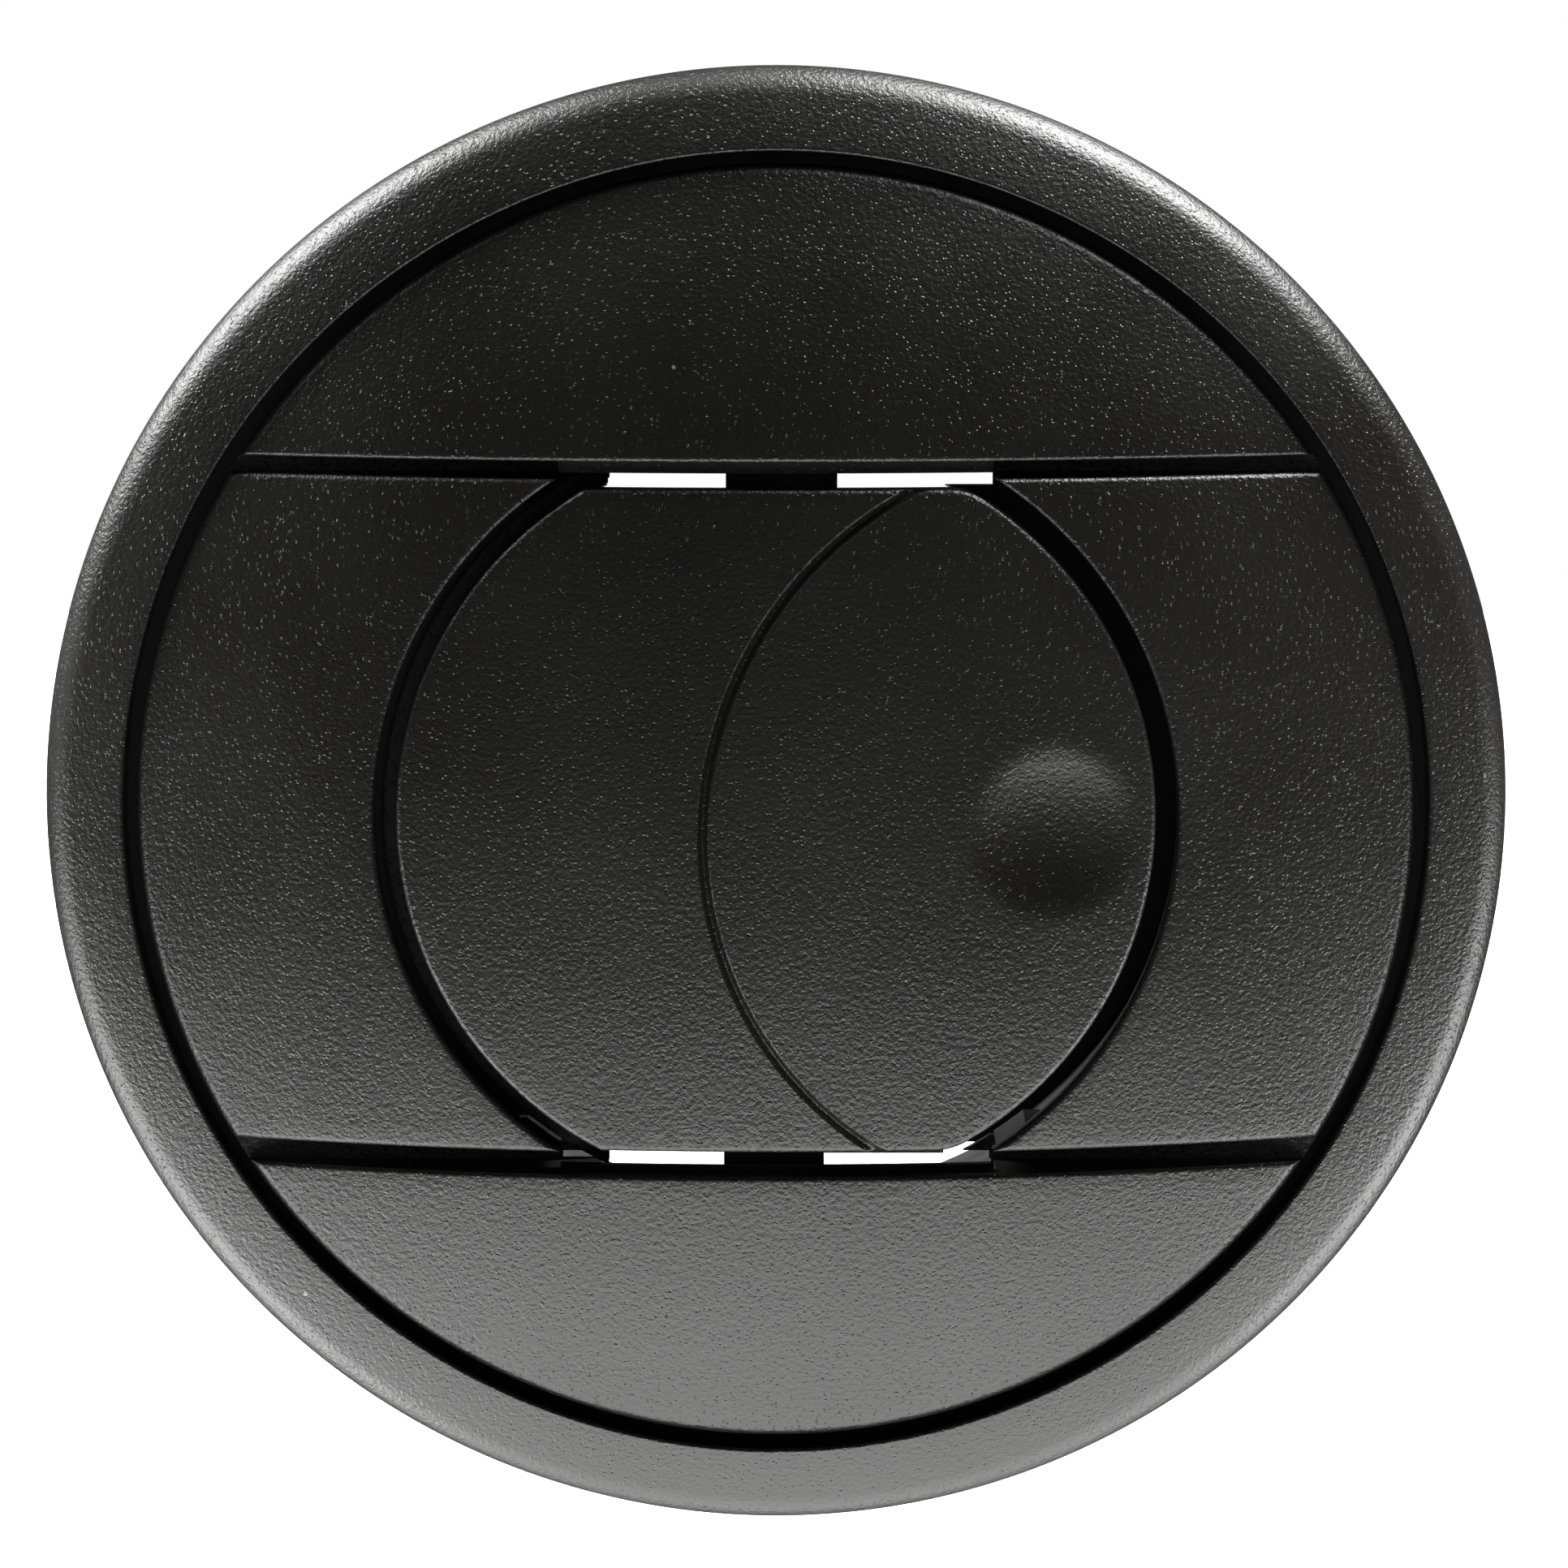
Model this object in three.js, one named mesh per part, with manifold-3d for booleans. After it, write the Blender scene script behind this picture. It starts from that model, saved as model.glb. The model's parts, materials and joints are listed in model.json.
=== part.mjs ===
// Round rotatable air outlet for 60 mm warm-air duct, with a butterfly closing flap.
//
// Frame, in millimetres: the panel that the outlet is fitted to is the plane y = 0, the room is
// towards -Y, the duct towards +Y, and +Z is up. The origin is the centre of the panel cut-out.
// Lengths along the outlet's axis are given as a "rise" above the panel, so y = -rise.

import * as THREE from 'three';
import { mergeVertices } from 'three/addons/utils/BufferGeometryUtils.js';
import Module from 'manifold-3d';

const wasm = await Module();
wasm.setup();

// Driving dimensions
const GAP = 0.3;                 // between pieces that rest on each other
const ROUND_STEPS = 48;          // facets round the large pieces
const SMALL_STEPS = 12;          // facets round pins, screws and bores

const BEZEL_RADIUS = 46;
const BEZEL_BORE = 40.8;
const BEZEL_WALL_RISE = 2;       // straight part of the outer edge, before it rounds over
const BEZEL_EDGE_RADIUS = 3.6;   // the rounding between that wall and the face
const BEZEL_FACE_TILT = Math.PI / 6;
const BEZEL_POCKET_RADIUS = 44;
const BEZEL_LUG_HALF_WIDTH = 4;
const BEZEL_LUG_REACH = 1.1;

const FLANGE_RADIUS = 43.6;
const FLANGE_BACK = 1.5;
const FLANGE_FRONT = 3.5;
const LIP_RADIUS = 30.7;         // edge that the retaining ring hooks behind
const CUP_BORE = 31.8;
const CUP_RADIUS = 33.2;
const CUP_END = -7;
const DUCT_RADIUS = 30;          // outside of the spigot: 60 mm duct
const DUCT_BORE = 28.6;
const DUCT_END = -18;
const BARB_HEIGHT = 0.5;
const BARB_RISES = [-14.5, -11.5];

const SPHERE_RADIUS = 87;        // the dome's outside
const DOME_APEX = 16.6;
const DOME_RADIUS = 39.95;
const DOME_WALL = 2.2;
const SKIRT_WALL = 1.8;
const DOME_BOSS_RADIUS = 2.7;    // bosses inside the dome, for the core's screws
const DOME_PILOT_RADIUS = 1.35;
const OPENING_RADIUS = 24.85;
const OPENING_TOP = 21.95;
const OPENING_BOTTOM = -22.39;
const BAND_HALF_HEIGHT = 20.9;   // the band between the two straight grooves
const GROOVE_FLOOR = 6;
const CHANNEL_ENDS = [-11, 13.7]; // where the groove channels end beside the flap
const LIP_HALF_LENGTH = 13.4;    // thin lips above and below the flap, set back from the surface
const LIP_TOP = 21.25;
const LIP_BOTTOM = -21.89;
const LIP_TOP_STEP = 0.8;
const LIP_BOTTOM_STEP = 1.4;

const CORE_BACK = 3.8;
const CORE_FRONT = 5;
const CORE_FLANGE_RADIUS = 35.5;
const BARREL_RADIUS = 30.3;
const BARREL_BORE = 29;
const BARREL_END = -6;
const CHEEK_RADIUS = 26.4;       // curved walls that guide the air past the flap's sides
const CHEEK_WALL = 1.2;
const CHEEK_FRONT = 9.4;
const THROAT_RADIUS = 22;        // opening of the core's rear wall
const THROAT_HALF_WIDTH = 13.8;
const THROAT_TOP = 19.2;
const THROAT_BOTTOM = -23.05;
const THROAT_WALL = 1.2;
const CORE_SCREW_X = 30.5;
const CORE_SCREW_Z = 12.5;
const CORE_SCREW_HEAD = 2.2;
const CORE_SCREW_HOLE = 1.4;
const CORE_SCREW_SHANK = 1;
const CORE_SCREW_HEAD_DEPTH = 0.9;
const CORE_SCREW_TIP = 8.9;      // how deep the pilot holes go into the dome's bosses
const RETAINER_GROOVE = [-0.6, 1.2];
const RETAINER_GROOVE_RADIUS = 29.65;

const PIVOT_RISE = 7;
const PIN_RADIUS = 1.1;
const PIN_START = 12;            // each pin's inner end, measured from the middle
const PIN_LENGTH = 11;
const WASHER_THICKNESS = 0.8;
const WASHER_RADIUS = 2.7;
const BUSH_START = 18.9;
const BUSH_RADIUS = 2.1;
const BUSH_FLANGE_RADIUS = 2.9;
const BUSH_FLANGE = 0.6;
const BUSH_LENGTH = 4.6;
const UPPER_POST = [-3.1, 3.8];  // where the bearing posts are in x
const LOWER_POST = [-3.25, 3];
const POST_FACE = 19.8;          // distance of each post's round nose from the middle
const POST_NOSE_RADIUS = 4.3;
const POST_STEP = 20.9;          // distance of each post's square body from the middle
const POST_FRONT = 10.1;

const FLAP_RADIUS = 23.45;
const FLAP_TOP = 20.3;
const FLAP_BOTTOM = -20.8;
const FLAP_SINK = 0.15;          // how far the flap's face lies under the dome's surface
const FLAP_WALL = 2;
const FLAP_CORNER_RADIUS = 4;      // rounding of the outline's right corners
const FLAP_SCREW_X = 9;
const FLAP_SCREW_HOLE = 1.2;
const FLAP_SCREW_HEAD = 1.9;
const FLAP_SCREW_SHANK = 0.9;
const FLAP_SCREW_HEAD_DEPTH = 0.9;
const FLAP_SCREW_LENGTH = 5.2;
const FLAP_BOSS_RADIUS = 2.2;
const FLAP_BOSS_FRONT = 14.6;
const FLAP_PILOT_END = 13.6;
const PLATE_BACK = 9;            // stiffening plate of the flap's rear frame
const PLATE_FRONT = 10.4;
const PLATE_RADIUS = 21.2;
const PLATE_HALF_HEIGHT = 17.5;
const HUB_RADIUS = 2.8;
const HUB_NECK = 2;
const RIB_HALF_LENGTH = 16;
const RIB_BACK = 7.2;
const RIB_Z = [8.4, 9.6];
const LENS_CENTRE = [19.2, -0.9];
const LENS_RADIUS = 23.7;
const DIMPLE_CENTRE = [17.2, -0.7];
const DIMPLE_RADIUS = 5.1;
const DIMPLE_DEPTH = 1.2;
const REAR_LIP_END_X = 10.4;     // lip behind the flap's lower edge, from the post to here
const REAR_LIP_BACK = 11.3;
const REAR_LIP_FRONT = 12.6;
const LEDGE_BACK = 8.4;
const LEDGE_FRONT = 9.6;
const LEDGE_END_X = -10.4;

const GASKET_RADIUS = 42.6;
const FELT_GROOVE = [31.4, 33.2];
const FELT_DEPTH = 1;

const PANEL_SCREW_CIRCLE = 36.4; // radius of the circle that the four screws are on
const PANEL_SCREW_HEAD = 2.7;
const PANEL_SCREW_HOLE = 1.8;
const PANEL_SCREW_SHANK = 1.45;
const PANEL_SCREW_HEAD_DEPTH = 1.4;
const PANEL_SCREW_CLEARANCE = 0.25;
const PANEL_SCREW_LENGTH = 15;

// Materials
const plastic = (color, roughness) => new THREE.MeshStandardMaterial({ color, roughness, metalness: 0 });
const metal = (color, roughness) => new THREE.MeshStandardMaterial({ color, roughness, metalness: 1 });
const blackGrained = () => plastic(0x1b1b1c, 0.55);
const blackPlain = () => plastic(0x161617, 0.5);
const naturalNylon = () => plastic(0xd8d4c4, 0.45);
const foam = () => plastic(0x2a2a2c, 0.95);
const rubber = () => plastic(0x202022, 0.8);
const felt = () => plastic(0x4a4a4c, 1);
const zincSteel = () => metal(0xb9bcc0, 0.35);

// Solids: a geometry is closed, turned outwards and handed to the boolean library.
function closed(geometry) {
  const bare = geometry.index ? geometry.toNonIndexed() : geometry.clone();
  bare.deleteAttribute('normal');
  bare.deleteAttribute('uv');
  const merged = mergeVertices(bare, 1e-4);
  const corners = merged.index.array;
  const triangles = [];
  for (let i = 0; i < corners.length; i += 3) {
    const [a, b, c] = [corners[i], corners[i + 1], corners[i + 2]];
    if (a !== b && b !== c && c !== a) triangles.push(a, b, c);
  }
  const place = merged.attributes.position;
  const [p, q, r] = [new THREE.Vector3(), new THREE.Vector3(), new THREE.Vector3()];
  let volume = 0;
  for (let i = 0; i < triangles.length; i += 3) {
    p.fromBufferAttribute(place, triangles[i]);
    q.fromBufferAttribute(place, triangles[i + 1]);
    r.fromBufferAttribute(place, triangles[i + 2]);
    volume += p.dot(q.cross(r));
  }
  if (volume < 0) triangles.reverse();
  merged.setIndex(triangles);
  return merged;
}

function solid(geometry) {
  const body = closed(geometry);
  return new wasm.Manifold(new wasm.Mesh({
    numProp: 3,
    vertProperties: new Float32Array(body.attributes.position.array),
    triVerts: new Uint32Array(body.index.array),
  }));
}

function surface(manifold) {
  const mesh = manifold.getMesh();
  const geometry = new THREE.BufferGeometry();
  geometry.setAttribute('position', new THREE.BufferAttribute(mesh.vertProperties, mesh.numProp));
  geometry.setIndex(new THREE.BufferAttribute(mesh.triVerts, 1));
  geometry.computeVertexNormals();
  return geometry;
}

// A solid turned about the outlet's axis; each profile point is [radius, rise].
function turned(profile, steps = ROUND_STEPS) {
  const points = profile.map(([radius, rise]) => new THREE.Vector2(radius, -rise));
  return solid(new THREE.LatheGeometry(points, steps));
}

// A ring with a rectangular section, closed on itself.
function ring(inner, outer, back, front, steps = ROUND_STEPS) {
  return turned([[inner, back], [outer, back], [outer, front], [inner, front], [inner, back]], steps);
}

// A box between two values of x, rise and z; each pair can be in either order.
function block([x0, x1], [back, front], [z0, z1]) {
  const geometry = new THREE.BoxGeometry(Math.abs(x1 - x0), Math.abs(front - back), Math.abs(z1 - z0));
  return solid(geometry.translate((x0 + x1) / 2, -(back + front) / 2, (z0 + z1) / 2));
}

// A cylinder or cone parallel to the outlet's axis.
function cylinder([x, z], radius, back, front, frontRadius = radius) {
  const geometry = new THREE.CylinderGeometry(radius, frontRadius, front - back, SMALL_STEPS);
  return solid(geometry.translate(x, -(back + front) / 2, z));
}

// A cylinder along Z about the flap's pivot axis, from z0 to z1.
function pivotCylinder(radius, z0, z1) {
  const geometry = new THREE.CylinderGeometry(radius, radius, Math.abs(z1 - z0), SMALL_STEPS);
  return solid(geometry.rotateX(Math.PI / 2).translate(0, -PIVOT_RISE, (z0 + z1) / 2));
}

const joined = (...solids) => solids.reduce((whole, next) => whole.add(next));
const signs = [1, -1];
const quadrants = signs.flatMap((sx) => signs.map((sz) => [sx, sz]));
const FAR = 50;                  // beyond the object's edge, for solids that only trim others
const acrossX = [-FAR, FAR];

// Where the screws are, as [x, z]
const screwStep = PANEL_SCREW_CIRCLE * Math.SQRT1_2;
const panelScrewPlaces = quadrants.map(([sx, sz]) => [sx * screwStep, sz * screwStep]);
const coreScrewPlaces = quadrants.map(([sx, sz]) => [sx * CORE_SCREW_X, sz * CORE_SCREW_Z]);
const flapScrewPlaces = signs.map((side) => [side * FLAP_SCREW_X, 0]);

// Rise of a sphere that lies `depth` under the dome's outside, at a distance from the axis.
function sphereRise(radius, depth = 0) {
  return Math.sqrt((SPHERE_RADIUS - depth) ** 2 - radius ** 2) - (SPHERE_RADIUS - DOME_APEX);
}

// Points of that sphere from one radius to another.
function sphereArc(from, to, depth, steps) {
  const points = [];
  for (let i = 0; i <= steps; i += 1) {
    const radius = from + (to - from) * i / steps;
    points.push([radius, sphereRise(radius, depth)]);
  }
  return points;
}

// Everything under a sphere, out to a radius and down to a rise.
function underSphere(depth, radius, back, steps = 8) {
  return turned([[0, back], [radius, back], ...sphereArc(radius, 0, depth, steps)]);
}

// Snap-on trim ring: rounded outer edge, sloped face, and lugs that hook behind the flange.
function bezelRing() {
  const edge = [];
  const edgeSteps = 5;
  for (let i = 0; i <= edgeSteps; i += 1) {
    const tilt = Math.PI / 2 + (BEZEL_FACE_TILT - Math.PI / 2) * i / edgeSteps;
    edge.push([
      BEZEL_RADIUS - BEZEL_EDGE_RADIUS * (1 - Math.sin(tilt)),
      BEZEL_WALL_RISE + BEZEL_EDGE_RADIUS * Math.cos(tilt),
    ]);
  }
  const [edgeTopRadius, edgeTopRise] = edge[edgeSteps];
  const innerEdge = 0.2;
  const faceInner = BEZEL_BORE + innerEdge;
  const faceRise = edgeTopRise + (edgeTopRadius - faceInner) * Math.tan(BEZEL_FACE_TILT);
  const body = turned([
    [BEZEL_POCKET_RADIUS, 0], [BEZEL_RADIUS, 0], ...edge,
    [faceInner, faceRise], [BEZEL_BORE, faceRise - innerEdge],
    [BEZEL_BORE, FLANGE_FRONT + GAP], [BEZEL_POCKET_RADIUS, FLANGE_FRONT + GAP],
    [BEZEL_POCKET_RADIUS, 0],
  ]);
  const lug = [-BEZEL_LUG_HALF_WIDTH, BEZEL_LUG_HALF_WIDTH];
  const lugInner = BEZEL_POCKET_RADIUS - BEZEL_LUG_REACH;
  const lugs = ring(lugInner, BEZEL_POCKET_RADIUS + 0.5, GAP, FLANGE_BACK - GAP)
    .intersect(block(acrossX, [0, FLANGE_BACK], lug).add(block(lug, [0, FLANGE_BACK], acrossX)));
  return body.add(lugs);
}

// Flange, cup for the turning core, and the barbed spigot that the duct is pushed over.
function mountingBase() {
  const barbs = BARB_RISES.flatMap((rise) => [
    [DUCT_RADIUS, rise - 2], [DUCT_RADIUS + BARB_HEIGHT, rise], [DUCT_RADIUS, rise + 0.1],
  ]);
  const [feltInner, feltOuter] = FELT_GROOVE;
  const feltFloor = FLANGE_FRONT - FELT_DEPTH;
  const body = turned([
    [LIP_RADIUS, FLANGE_FRONT], [LIP_RADIUS, FLANGE_BACK], [CUP_BORE, FLANGE_BACK],
    [CUP_BORE, CUP_END], [DUCT_BORE, CUP_END - 2], [DUCT_BORE, DUCT_END],
    [DUCT_RADIUS - 0.3, DUCT_END], [DUCT_RADIUS, DUCT_END + 0.5],
    ...barbs,
    [DUCT_RADIUS, CUP_END - 2.6], [CUP_RADIUS, CUP_END - 0.6], [CUP_RADIUS, FLANGE_BACK],
    [FLANGE_RADIUS, FLANGE_BACK], [FLANGE_RADIUS, FLANGE_FRONT],
    [feltOuter, FLANGE_FRONT], [feltOuter, feltFloor], [feltInner, feltFloor], [feltInner, FLANGE_FRONT],
    [LIP_RADIUS, FLANGE_FRONT],
  ]);
  const holes = panelScrewPlaces.map((place) => cylinder(place, PANEL_SCREW_HOLE, 0, FLANGE_FRONT + 1)
    .add(cylinder(place, PANEL_SCREW_HOLE, FLANGE_BACK + 0.2, FLANGE_FRONT + 0.01,
      PANEL_SCREW_HEAD + PANEL_SCREW_CLEARANCE)));
  return body.subtract(joined(...holes));
}

// Soft ring between the flange and the panel.
function panelGasket() {
  const holes = panelScrewPlaces.map((place) => cylinder(place, PANEL_SCREW_HOLE, -1, FLANGE_BACK));
  return ring(CUP_RADIUS + 0.5, GASKET_RADIUS, 0, FLANGE_BACK - GAP).subtract(joined(...holes));
}

// Felt ring in the flange's groove, which gives the turning front its drag.
function spinFeltRing() {
  const [inner, outer] = FELT_GROOVE;
  return ring(inner + GAP, outer - GAP, FLANGE_FRONT - FELT_DEPTH + GAP, FLANGE_FRONT);
}

// Countersunk cross-head screw along Y: the head's face is at y = 0 and the tip at y = length.
function screw(headRadius, shankRadius, headDepth, length) {
  const profile = [
    [0, 0], [headRadius, 0], [headRadius, -0.2], [shankRadius, -headDepth],
    [shankRadius, -(length - 2 * shankRadius)], [0.3, -length], [0, -length],
  ];
  const body = turned(profile, SMALL_STEPS);
  const long = [-0.55 * headRadius, 0.55 * headRadius];
  const wide = [-0.12 * headRadius, 0.12 * headRadius];
  const deep = [-0.7 * headDepth, 1];
  return body.subtract(block(long, deep, wide).add(block(wide, deep, long)));
}

// The turning front: a thin dome with two straight grooves across it and the flap's opening.
function rotorDome() {
  const inner = DOME_RADIUS - SKIRT_WALL;
  const shell = turned([
    ...sphereArc(0, DOME_RADIUS, 0, 8),
    [DOME_RADIUS, CORE_BACK], [inner, CORE_BACK],
    ...sphereArc(inner, 0, DOME_WALL, 5),
  ]);
  const channelOuter = 35.6;
  const channelZ = [BAND_HALF_HEIGHT - 1.5, BAND_HALF_HEIGHT + 3];
  const channelBack = CORE_FRONT + GAP;
  const channels = joined(...CHANNEL_ENDS.flatMap((end) => signs.map((sz) => block(
    [end, Math.sign(end) * channelOuter], [channelBack, DOME_APEX], channelZ.map((z) => sz * z),
  )))).intersect(underSphere(1, DOME_RADIUS - 1, channelBack - 1));
  const atCoreScrews = (radius, back) => coreScrewPlaces.map(
    (place) => cylinder(place, radius, back, CORE_SCREW_TIP),
  );
  const bosses = atCoreScrews(DOME_BOSS_RADIUS, CORE_FRONT + GAP);
  const pilots = atCoreScrews(DOME_PILOT_RADIUS, CORE_FRONT);
  const grooves = block(acrossX, [GROOVE_FLOOR, FAR], [BAND_HALF_HEIGHT, OPENING_TOP])
    .add(block(acrossX, [GROOVE_FLOOR, FAR], [OPENING_BOTTOM, -BAND_HALF_HEIGHT]));
  const opening = ring(0, OPENING_RADIUS, 0, FAR)
    .intersect(block(acrossX, [0, FAR], [OPENING_BOTTOM, OPENING_TOP]));
  const lip = (step, from, to) => block([-LIP_HALF_LENGTH, LIP_HALF_LENGTH], [0, FAR], [from, to])
    .intersect(underSphere(step, DOME_RADIUS - 1, 0).subtract(underSphere(DOME_WALL, DOME_RADIUS, -1)));
  const overlap = 0.2;
  return joined(shell, channels, ...bosses).subtract(joined(grooves, opening, ...pilots))
    .add(lip(LIP_TOP_STEP, LIP_TOP, OPENING_TOP + overlap))
    .add(lip(LIP_BOTTOM_STEP, OPENING_BOTTOM - overlap, LIP_BOTTOM));
}

// The turning core behind the dome: barrel, air-guiding cheeks, rear wall, bearing posts and the
// ledge that the flap closes against.
function rotorCore() {
  const [grooveBack, grooveFront] = RETAINER_GROOVE;
  const barrel = turned([
    [BARREL_BORE, BARREL_END], [BARREL_RADIUS, BARREL_END], [BARREL_RADIUS, grooveBack],
    [RETAINER_GROOVE_RADIUS, grooveBack], [RETAINER_GROOVE_RADIUS, grooveFront],
    [BARREL_RADIUS, grooveFront], [BARREL_RADIUS, CORE_BACK], [CORE_FLANGE_RADIUS, CORE_BACK],
    [CORE_FLANGE_RADIUS, CORE_FRONT], [BARREL_BORE, CORE_FRONT], [BARREL_BORE, BARREL_END],
  ]);
  const lowerHalf = BAND_HALF_HEIGHT - 0.2;
  const upperHalf = BAND_HALF_HEIGHT - 1.8;
  const cheekBands = block(acrossX, [BARREL_END, CORE_FRONT], [-lowerHalf, lowerHalf])
    .add(block(acrossX, [CORE_FRONT - 1, CHEEK_FRONT], [-upperHalf, upperHalf]));
  const cheekOuter = CHEEK_RADIUS + CHEEK_WALL;
  const cheeks = ring(CHEEK_RADIUS, cheekOuter, BARREL_END, CHEEK_FRONT).intersect(cheekBands);
  const intoBarrel = BARREL_BORE + 0.5;
  const rearWall = ring(THROAT_RADIUS, intoBarrel, BARREL_END, BARREL_END + THROAT_WALL)
    .subtract(block([-THROAT_HALF_WIDTH, THROAT_HALF_WIDTH], [-FAR, 0], [THROAT_TOP, FAR]))
    .subtract(block([-THROAT_HALF_WIDTH, THROAT_HALF_WIDTH], [-FAR, 0], [-FAR, THROAT_BOTTOM]));
  const frontWalls = ring(cheekOuter - 0.5, intoBarrel, CORE_BACK, CORE_FRONT)
    .intersect(block(acrossX, [0, CORE_FRONT], [-lowerHalf, lowerHalf]));
  const leftOf = (x, halfHeight) => block([-FAR, x], [0, FAR], [-halfHeight, halfHeight]);
  const leftWall = ring(FLAP_RADIUS - 0.55, intoBarrel, CORE_BACK, CORE_FRONT)
    .intersect(leftOf(LEDGE_END_X, OPENING_TOP));
  const ledge = ring(FLAP_RADIUS - 0.55, OPENING_RADIUS - 0.35, LEDGE_BACK, LEDGE_FRONT)
    .intersect(leftOf(LEDGE_END_X, OPENING_TOP))
    .add(ring(OPENING_RADIUS - 0.6, CHEEK_RADIUS + 0.5, LEDGE_BACK, LEDGE_FRONT)
      .intersect(leftOf(LEDGE_END_X, upperHalf)));
  const post = (width, sz) => block(width, [CORE_BACK, POST_FRONT], [sz * POST_STEP, sz * FAR])
    .add(block(width, [CORE_BACK, POST_FRONT], [sz * POST_FACE, sz * (POST_STEP + 1)])
      .intersect(pivotCylinder(POST_NOSE_RADIUS, sz * POST_FACE, sz * (POST_STEP + 1))));
  const posts = post(UPPER_POST, 1).add(post(LOWER_POST, -1))
    .intersect(underSphere(DOME_WALL + GAP, BARREL_RADIUS - 0.8, 0));
  const seatEnd = BUSH_START + BUSH_LENGTH + GAP;
  const bushSeats = signs.map((sz) => pivotCylinder(BUSH_RADIUS + GAP, sz * (POST_FACE - 1), sz * seatEnd));
  const screwHoles = coreScrewPlaces.map((place) => cylinder(place, CORE_SCREW_HOLE, 0, CORE_FRONT + 1)
    .add(cylinder(place, CORE_SCREW_HEAD + 0.4, CORE_BACK - 0.01, CORE_FRONT - 0.1, CORE_SCREW_HOLE)));
  return joined(barrel, cheeks, rearWall, frontWalls, leftWall, ledge, posts)
    .subtract(joined(...bushSeats, ...screwHoles));
}

// Split ring that snaps into the barrel's groove behind the flange's lip and holds the core in.
function retainingRing() {
  const [back, front] = RETAINER_GROOVE;
  const split = [-5, 5];
  return ring(RETAINER_GROOVE_RADIUS + GAP, CUP_BORE - 0.4, back + GAP, front - GAP)
    .subtract(block(split, [-FAR, FAR], [-FAR, 0]));
}

// Foam crescent on the ledge, which the closed flap presses on.
function closingSeal() {
  return ring(FLAP_RADIUS - 0.5, OPENING_RADIUS - 0.45, LEDGE_FRONT + GAP, LEDGE_FRONT + 1.2)
    .intersect(block([-FAR, LEDGE_END_X], [0, FAR], [-OPENING_TOP, OPENING_TOP]));
}

// Flanged bush, from its flange at z = 0 outwards along Z.
function pivotBush() {
  const bore = PIN_RADIUS + GAP;
  return turned([
    [bore, 0], [BUSH_FLANGE_RADIUS, 0], [BUSH_FLANGE_RADIUS, -BUSH_FLANGE], [BUSH_RADIUS, -BUSH_FLANGE],
    [BUSH_RADIUS, -BUSH_LENGTH], [bore, -BUSH_LENGTH], [bore, 0],
  ], SMALL_STEPS);
}

// What the rounding at the right end of the flap's upper or lower edge takes away.
function flapCorner(level) {
  const side = Math.sign(level);
  const z = level - side * FLAP_CORNER_RADIUS;
  const x = Math.sqrt((FLAP_RADIUS - FLAP_CORNER_RADIUS) ** 2 - z ** 2);
  const arcEnd = z * FLAP_RADIUS / (FLAP_RADIUS - FLAP_CORNER_RADIUS);
  return block([x, FAR], [0, FAR], [arcEnd, side * FAR])
    .subtract(ring(0, FLAP_CORNER_RADIUS, -1, FAR + 1).translate([x, 0, z]));
}

// The flap's visible face: a slice of the dome with the lens outline and the thumb dimple.
function flapFace() {
  const outer = FLAP_SINK;
  const inner = FLAP_SINK + FLAP_WALL;
  const shell = turned([
    ...sphereArc(0, FLAP_RADIUS, outer, 6),
    ...sphereArc(FLAP_RADIUS, 0, inner, 4),
  ]);
  const outline = block(acrossX, [0, FAR], [FLAP_BOTTOM, FLAP_TOP])
    .subtract(flapCorner(FLAP_TOP).add(flapCorner(FLAP_BOTTOM)));
  const grooveDepth = 0.45;
  const grooveWidth = 0.8;
  const [lensX, lensZ] = LENS_CENTRE;
  const lensGroove = ring(LENS_RADIUS - grooveWidth / 2, LENS_RADIUS + grooveWidth / 2, 0, DOME_APEX + 1)
    .translate([lensX, 0, lensZ])
    .subtract(underSphere(outer + grooveDepth, FLAP_RADIUS + 6, -1));
  const [dimpleX, dimpleZ] = DIMPLE_CENTRE;
  const ballRadius = (DIMPLE_RADIUS ** 2 + DIMPLE_DEPTH ** 2) / (2 * DIMPLE_DEPTH);
  const faceRise = sphereRise(Math.hypot(dimpleX, dimpleZ), outer);
  const tilt = Math.hypot(dimpleX, dimpleZ) / SPHERE_RADIUS;
  const ballOut = ballRadius - DIMPLE_DEPTH;
  const ball = (extra) => solid(new THREE.SphereGeometry(ballRadius + extra, 36, 30)
    .translate(dimpleX + ballOut * tilt, -(faceRise + ballOut), dimpleZ));
  const backing = ball(1.4).intersect(cylinder(DIMPLE_CENTRE, DIMPLE_RADIUS + 0.5, 0, faceRise - 0.6));
  const atFlapScrews = (radius, back, front) => flapScrewPlaces.map(
    (place) => cylinder(place, radius, back, front),
  );
  const bosses = atFlapScrews(FLAP_BOSS_RADIUS, PLATE_FRONT + GAP, FLAP_BOSS_FRONT);
  const pilots = atFlapScrews(FLAP_SCREW_HOLE, PLATE_FRONT, FLAP_PILOT_END);
  const rearLip = block(
    [LOWER_POST[1], REAR_LIP_END_X], [REAR_LIP_BACK, REAR_LIP_FRONT],
    [FLAP_BOTTOM - 0.22, FLAP_BOTTOM + 1.2],
  );
  return joined(shell.intersect(outline), backing, rearLip, ...bosses)
    .subtract(joined(lensGroove, ball(0), ...pilots));
}

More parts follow.
